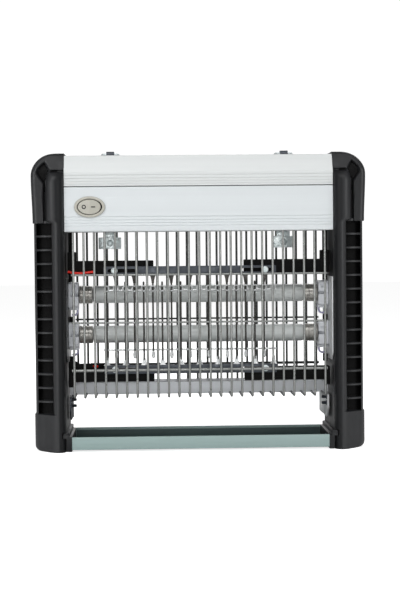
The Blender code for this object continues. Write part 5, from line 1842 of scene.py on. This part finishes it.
@dataclass
class CageFrame:
    """The rail, side plates, brackets and clips."""

    finishes: Finishes

    def rail(self) -> None:
        """The angle below the lamps, with a hem on its rear edge."""
        low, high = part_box("bottom_rail")
        low.z -= 1.9 * MM
        high.z += 1.0 * MM
        thick = 1.2 * MM
        outline = [(low.y, low.z), (low.y + thick, low.z), (low.y + thick, high.z - thick)]
        outline += [(high.y - thick, high.z - thick), (high.y - thick, high.z - 2.2 * thick)]
        outline += [(high.y, high.z - 2.2 * thick), (high.y, high.z), (low.y, high.z)]
        shape = Shape().prism(rounded(outline, 0.4 * MM, 3), Axis.X, low.x, high.x)
        settle(shape.finish("cage_rail", self.finishes.rail), ["bottom_rail"])
        # A dark sheet over the shelf's top: painted shade under the lamps.
        near = (low.x, low.y + 1.5 * MM, high.z - 0.1 * MM)
        shade_sheet = Shape().box(near, (high.x, high.y - 2.0 * MM, high.z + 0.1 * MM))
        settle(shade_sheet.finish("rail_shelf_shade", self.finishes.dark_steel_and_shade))

    def plate(self, side: Side) -> None:
        """The plate on a post's inner face."""
        node = f"{side.word}_side_plate"
        low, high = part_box(node)
        cut = 6.0 * MM
        bottom, top = 77.0 * MM, 150.0 * MM
        outline = [(low.y, bottom + cut), (low.y + cut, bottom), (high.y, bottom), (high.y, top)]
        outline.append((low.y, top))
        shape = Shape().prism(rounded(outline, 1.2 * MM), Axis.X, low.x, high.x)
        # Both plates are zinc; the left one takes the dark panel finish as painted shade.
        material = self.finishes.panel if side is Side.LEFT else self.finishes.plate
        piece = shape.finish(f"{side.word}_zinc_plate", material, bevel=0.2 * MM)
        settle(piece, [node])

    def bracket(self, side: Side) -> None:
        """A bent bracket with a flange and two threaded studs."""
        node = f"{side.word}_side_bracket"
        low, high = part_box(node)
        sign = side.value
        face = CAGE_X - 1.5 * MM
        cut = 8.6 * MM
        outline = [(low.y, low.z + cut), (low.y + cut, low.z), (high.y, low.z), (high.y, high.z)]
        outline.append((low.y, high.z))
        shape = Shape().prism(rounded(outline, 0.8 * MM), Axis.X, sign * face, sign * CAGE_X)
        tip = face - (1.0 if side is Side.LEFT else 4.5) * MM
        flange = [(face + 0.4 * MM, low.z), (face + 0.4 * MM, high.z), (tip, high.z)]
        flange.append((tip, low.z + face - tip))
        flange = [(sign * x, z) for x, z in flange]
        shape.prism(rounded(flange, 0.8 * MM), Axis.Y, high.y - 1.5 * MM, high.y)
        # Both brackets are zinc; the left one takes the dark steel finish as painted shade.
        material = self.finishes.dark_steel_and_shade if side is Side.LEFT else self.finishes.plate
        piece = shape.finish(f"{side.word}_bent_bracket", material, bevel=0.2 * MM)
        settle(piece, [node])
        for number, z in enumerate((42.4 * MM, 37.0 * MM), 1):
            length = 4.6 * MM
            profile = [(0.0, 2.4 * MM), (0.5 * MM, 2.4 * MM), (0.6 * MM, 1.3 * MM)]
            for i in range(6):
                profile += [((0.9 + 0.6 * i) * MM, 1.5 * MM), ((1.2 + 0.6 * i) * MM, 1.2 * MM)]
            profile.append((length, 0.8 * MM))
            stud = Shape().turned(profile, (sign * face, low.y / 2, z), Axis.X, -sign, 20)
            stud = stud.finish(f"{side.word}_stud_{number}", self.finishes.dark_steel_and_shade)
            settle(stud)

    def clip(self, side: Side) -> None:
        """A strap with a raised middle, its tab and its screw."""
        node = f"{side.word}_guard_clip"
        low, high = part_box(node)
        x = middle(node)[0]
        back, front = high.y, low.y
        half = (high.x - low.x) / 2
        top = high.z - 4.3 * MM
        section = [(-half, back), (-half, front + 0.4 * MM), (-0.55 * half, front + 0.4 * MM)]
        section += [(-0.42 * half, front), (0.42 * half, front), (0.55 * half, front + 0.4 * MM)]
        section += [(half, front + 0.4 * MM), (half, back)]
        rings = []
        levels = [(low.z, 0.4), (low.z + 0.4 * MM, 0.0), (top - 0.4 * MM, 0.0), (top, 0.4)]
        for z, shrink in levels:
            rings.append([(x + u * (1 - shrink * MM / half), v, z) for u, v in section])
        shape = Shape().loft(rings)
        near = (x - 6.0 * MM, front + 0.1 * MM, top - 0.4 * MM)
        shape.box(near, (x + 6.0 * MM, back - 0.1 * MM, high.z + 0.2 * MM))
        piece = shape.finish(f"{side.word}_strap_clip", self.finishes.zinc, bevel=0.12 * MM)
        hole = ellipse((x, middle(f"{node}_screw")[2]), 3.4 * MM, 3.4 * MM, 24)
        combine(piece, Shape().prism(hole, Axis.Y, front - MM, back + MM))
        settle(piece, [node])
        Screw.make(f"{side.word}_clip_screw", f"{node}_screw", self.finishes.zinc)

    def build(self) -> None:
        """Makes the rail and both sides' plates, brackets and clips."""
        self.rail()
        for side in Side:
            self.plate(side)
            self.bracket(side)
            self.clip(side)


@dataclass
class Hanger:
    """A plate with a curled strap that a wire bail folds in."""

    finishes: Finishes
    side: Side
    wire: float = 1.0 * MM
    thick: float = 0.8 * MM
    corner: float = 3.5 * MM

    def build(self) -> None:
        """Makes the plate and the bail."""
        word = self.side.word
        low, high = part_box(f"{word}_hanger_plate")
        bail_low, bail_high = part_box(f"{word}_hanger_bail")
        x, z = (low.x + high.x) / 2, (bail_low.z + bail_high.z) / 2
        top = low.z + self.thick
        outline = rounded(rectangle((low.x, low.y), (high.x, high.y)), 2.5 * MM, 5)
        shape = Shape().prism(outline, Axis.Z, low.z, top)
        bore = self.wire + 0.35 * MM
        crown = high.z - z
        seat = top - 0.3 * MM
        outer = [(crown, seat)] + arc((0.0, z), crown, 0, 180, 20) + [(-crown, seat)]
        inner = [(-bore, seat)] + arc((0.0, z), bore, 180, 0, 20) + [(bore, seat)]
        shape.prism(outer + inner, Axis.X, x - 3.5 * MM, x + 3.5 * MM)
        for sign in (-1, 1):
            profile = scaled([(0.0, 1.7), (0.25, 1.6), (0.45, 1.1), (0.5, 0.3)])
            shape.turned(profile, (x + sign * 7.6 * MM, 0.0, top - 0.02 * MM), Axis.Z, 1, 20)
        piece = shape.finish(f"{word}_hanger", self.finishes.dark_steel_and_shade)
        settle(piece, [f"{word}_hanger_plate"])
        half = (bail_high.x - bail_low.x) / 2 - self.wire
        far = bail_high.y - self.wire
        corner = self.corner
        loop = [(-half + 1.0 * MM, 0.0), (half - 1.0 * MM, 0.0), (half, 1.0 * MM)]
        loop += arc((half - corner, far - corner), corner, 0, 90, 6)
        loop += arc((corner - half, far - corner), corner, 90, 180, 6) + [(-half, 1.0 * MM)]
        path = [Vector((x + u, v, z)) for u, v in loop]
        bail = Shape().tube(path, self.wire, 14, True)
        bail = bail.finish(f"{word}_bail_wire", self.finishes.zinc)
        settle(bail, [f"{word}_hanger_bail"], f"{word}_bail")


@dataclass
class Tray:
    """A painted pan with rolled lips between two black caps."""

    finishes: Finishes
    wall: float = 1.1 * MM

    def pan(self) -> None:
        """The channel with its rolled upper edges."""
        low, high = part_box("tray_pan")
        wall = self.wall
        roll = 0.95 * MM
        front = [(low.y + 1.0 * MM, low.z), (low.y + 0.3 * MM, low.z + 0.3 * MM)]
        front.append((low.y, low.z + 1.0 * MM))
        front += arc((low.y + roll, high.z - roll), roll, 180, 0, 8)
        front.append((low.y + 2 * roll, high.z - roll - 0.9 * MM))
        front.append((low.y + wall, high.z - roll - 1.1 * MM))
        front += [(low.y + wall, low.z + wall + 0.8 * MM), (low.y + wall + 0.8 * MM, low.z + wall)]
        centre = (low.y + high.y) / 2
        rear = [(2 * centre - y, z) for y, z in reversed(front)]
        shape = Shape().prism(front + rear, Axis.X, low.x - 0.3 * MM, high.x + 0.3 * MM)
        settle(shape.finish("tray_channel", self.finishes.tray), ["tray_pan"], "tray")
        # A darker teal sheet over the pan's inside: painted shade under the cage.
        inside = wall + 0.12 * MM
        lip = high.z - 2.4 * MM
        section = [(low.y + wall + 1.0 * MM, low.z + wall - 0.1 * MM)]
        section += [(high.y - wall - 1.0 * MM, low.z + wall - 0.1 * MM)]
        section += [(high.y - wall + 0.1 * MM, low.z + wall + 1.0 * MM)]
        section += [(high.y - wall + 0.1 * MM, lip), (high.y - inside, lip)]
        section += [(high.y - inside, low.z + wall + 1.1 * MM)]
        section += [(high.y - wall - 1.1 * MM, low.z + inside)]
        section += [(low.y + wall + 1.1 * MM, low.z + inside)]
        floor = Shape().prism(section, Axis.X, low.x, high.x)
        settle(floor.finish("tray_shade_sheet", self.finishes.tray_shade), [], "tray")

    def cap(self, side: Side) -> None:
        """An end cap with its runner."""
        node = f"tray_{side.word}_cap"
        low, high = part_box(node)
        sign = side.value
        inner, tip = reach(low, high)
        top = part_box("tray_pan")[1].z
        step = inner + 2.35 * MM
        section = [(inner, low.z), (BAY_X, low.z), (BAY_X, 12.25 * MM), (tip, 12.25 * MM)]
        section += [(tip, high.z), (step, high.z), (step, top), (inner, top)]
        section = rounded([(sign * x, z) for x, z in section], 0.5 * MM)
        rings = []
        centre = (sign * (inner + BAY_X) / 2, 8.0 * MM)
        stations = [(low.y, 0.6), (low.y + 0.25 * MM, 0.2), (low.y + 0.8 * MM, 0.0)]
        stations += [(high.y - 0.8 * MM, 0.0), (high.y - 0.25 * MM, 0.2), (high.y, 0.6)]
        for y, shrink in stations:
            part = 1 - shrink * MM / centre[1]
            ring = [[c + (v - c) * part for c, v in zip(centre, point)] for point in section]
            rings.append([(x, y, z) for x, z in ring])
        piece = Shape().loft(rings).finish(f"tray_{side.word}_end", self.finishes.post)
        settle(piece, [node], "tray")

    def build(self) -> None:
        """Makes the pan and both caps."""
        self.pan()
        for side in Side:
            self.cap(side)


@dataclass
class Leads:
    """The red leads to the grid and the cable gland."""

    finishes: Finishes
    radius: float = 1.0 * MM

    def build(self) -> None:
        """Makes both leads and the gland."""
        routes = {
            Row.UPPER: [
                (-114.6, -22.4, 155.9), (-109.6, -22.7, 154.8), (-102.6, -22.8, 154.6),
                (-96.6, -22.6, 155.1), (-91.6, -22.4, 155.7),
            ],
            Row.LOWER: [
                (-114.6, -2.0, 73.7), (-108.6, -4.0, 72.9), (-100.6, -8.0, 72.3),
                (-94.6, -12.0, 72.1), (-89.6, -15.0, 72.1),
            ],
        }
        for row, route in routes.items():
            path = flow([Vector(p) * MM for p in route], 8)
            name = f"{row.word}_red_lead"
            lead = RowTool.wires(name, path, self.radius, self.finishes.lead, sides=16)
            settle(lead, [f"{row.word}_grid_lead"])
        low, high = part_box("cable_gland")
        x, _, z = middle("cable_gland")
        length = high.y - low.y
        bore, barrel, flange = 2.7 * MM, 4.0 * MM, 6.5 * MM
        base = 4.6 * MM
        profile = [(0.0, bore), (0.0, barrel - 0.3 * MM), (0.3 * MM, barrel), (base, barrel)]
        profile += [(base, flange), (base + 1.6 * MM, flange)]
        profile += [(base + 2.0 * MM, flange - 0.4 * MM), (base + 2.0 * MM, barrel)]
        profile += [(base + 3.4 * MM, barrel - 0.1 * MM), (base + 3.5 * MM, barrel - 0.6 * MM)]
        profile += [(base + 4.3 * MM, barrel - 0.6 * MM), (base + 4.4 * MM, barrel - 0.2 * MM)]
        profile += [(length - 0.4 * MM, barrel - 0.3 * MM), (length, barrel - 0.7 * MM)]
        profile.append((length, bore))
        rings = []
        for along, radius in profile:
            circle = ellipse((x, z), 2 * radius, 2 * radius, 40)
            rings.append([(u, low.y + along, v) for u, v in circle])
        gland = Shape().loft(rings, True).finish("gland_bush", self.finishes.deep)
        settle(gland, ["cable_gland"])


class Dressing:
    """Gives the frame's own solids that stay in view their materials."""

    def __init__(self, finishes: Finishes) -> None:
        """Takes the finishes."""
        self.finishes = finishes

    def build(self) -> None:
        """Dresses each node that nothing replaces."""
        chosen = {
            "left_inner_panel": self.finishes.panel,
            "right_inner_panel": self.finishes.panel,
            "ballast_board": self.finishes.board,
            "hv_transformer": self.finishes.deep,
            "smoothing_capacitor": self.finishes.film,
            "terminal_block": self.finishes.holder,
        }
        for node, material in chosen.items():
            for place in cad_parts[node].material_slots:
                place.material = material
            LOG.info("%s dressed", node)


@dataclass
class Studio:
    """A pale floor, a bright surround, soft lights and the camera."""

    place: Point = (-0.043, -1.354, 0.1766)
    turn: float = 1.88
    tilt: float = 2.0
    roll: float = 0.52
    lens: float = 91.3
    room: float = 0.22
    backdrop: float = 1.05
    glow: float = 0.75
    target: Point = (0.0, 0.0, 0.13)

    def floor(self) -> None:
        """A wide pale floor."""
        material = bpy.data.materials.new("floor_paper")
        material.use_nodes = True
        wiring = Wiring(material.node_tree)
        shader = material.node_tree.nodes["Principled BSDF"]
        shader.inputs["Roughness"].default_value = 0.9
        shader.inputs["Specular IOR Level"].default_value = 0.1
        speck = wiring.noise(object_point(wiring), 25.0, 4.0)
        tone = wiring.blend(speck, (0.93, 0.93, 0.93, 1.0), (0.96, 0.96, 0.96, 1.0))
        wiring.join(tone, shader.inputs["Base Color"])
        shader.inputs["Emission Color"].default_value = (1.0, 1.0, 1.0, 1.0)
        seen = wiring.add("ShaderNodeLightPath").outputs["Is Camera Ray"]
        glow = wiring.remap(seen, 0.0, 1.0, 0.0, self.glow)
        wiring.join(glow, shader.inputs["Emission Strength"])
        data = bpy.data.meshes.new("floor")
        size = 6.0
        corners = [(x, y, 0.0) for x, y in rectangle((-size, -size), (size, size))]
        data.from_pydata(corners, [], [(0, 1, 2, 3)])
        data.materials.append(material)
        add_object("floor", data)

    def surround(self) -> None:
        """A plain white world."""
        world = bpy.data.worlds.new("white_room")
        world.use_nodes = True
        wiring = Wiring(world.node_tree)
        shade = world.node_tree.nodes["Background"]
        shade.inputs["Color"].default_value = (1.0, 1.0, 1.0, 1.0)
        seen = wiring.add("ShaderNodeLightPath").outputs["Is Camera Ray"]
        strength = wiring.remap(seen, 0.0, 1.0, self.room, self.backdrop)
        wiring.join(strength, shade.inputs["Strength"])
        bpy.context.scene.world = world

    def lamp(self, name: str, place: Point, size: Flat, power: float) -> None:
        """A soft area light that faces the object's middle.

        Args:
            name: The light's name.
            place: Where it stands.
            size: Its width and height.
            power: Its power in watts.
        """
        data = bpy.data.lights.new(name, "AREA")
        data.shape = "RECTANGLE"
        data.size, data.size_y = size
        data.energy = power
        light = add_object(name, data)
        light.location = place
        aim = Vector(self.target) - Vector(place)
        light.rotation_euler = aim.to_track_quat("-Z", "Y").to_euler()

    def camera(self) -> None:
        """The camera at a standing product's eye height."""
        data = bpy.data.cameras.new("camera")
        data.lens = self.lens
        data.sensor_width = 36.0
        camera = add_object("camera", data)
        spin = Matrix.Rotation(math.radians(-self.turn), 4, "Z")
        spin @= Matrix.Rotation(math.radians(90 - self.tilt), 4, "X")
        spin @= Matrix.Rotation(math.radians(-self.roll), 4, "Z")
        camera.matrix_world = Matrix.Translation(self.place) @ spin
        bpy.context.scene.camera = camera

    def build(self) -> None:
        """Makes the floor, lights and camera."""
        self.floor()
        self.surround()
        self.lamp("key", (-0.2, -1.25, 1.45), (1.6, 0.9), 17.0)
        self.lamp("front", (-0.2, -2.2, 0.12), (1.2, 0.35), 8.0)
        self.lamp("left", (-1.25, -1.2, 0.3), (0.8, 1.2), 8.0)
        self.lamp("right", (1.25, -1.2, 0.3), (0.8, 1.2), 7.5)
        self.lamp("rear", (0.3, 1.5, 0.9), (1.2, 0.9), 10.0)
        bpy.context.scene.view_settings.view_transform = "Standard"
        self.camera()


def main() -> None:
    """Builds every piece in order."""
    logging.basicConfig(level=logging.INFO, format="%(message)s")
    Studio().build()
    finishes = Finishes()
    for side in Side:
        EndPost(finishes, side).build()
    Housing(finishes).build()
    Switch(finishes).build()
    for row in Row:
        Lamp(finishes, row).build()
        for side in Side:
            LampHolder(finishes, row, side).build()
    Guard(finishes).build()
    Grid(finishes).build()
    Insulators(finishes).build()
    CageFrame(finishes).build()
    for side in Side:
        Hanger(finishes, side).build()
    Tray(finishes).build()
    Leads(finishes).build()
    Dressing(finishes).build()


if __name__ == "__main__":
    main()
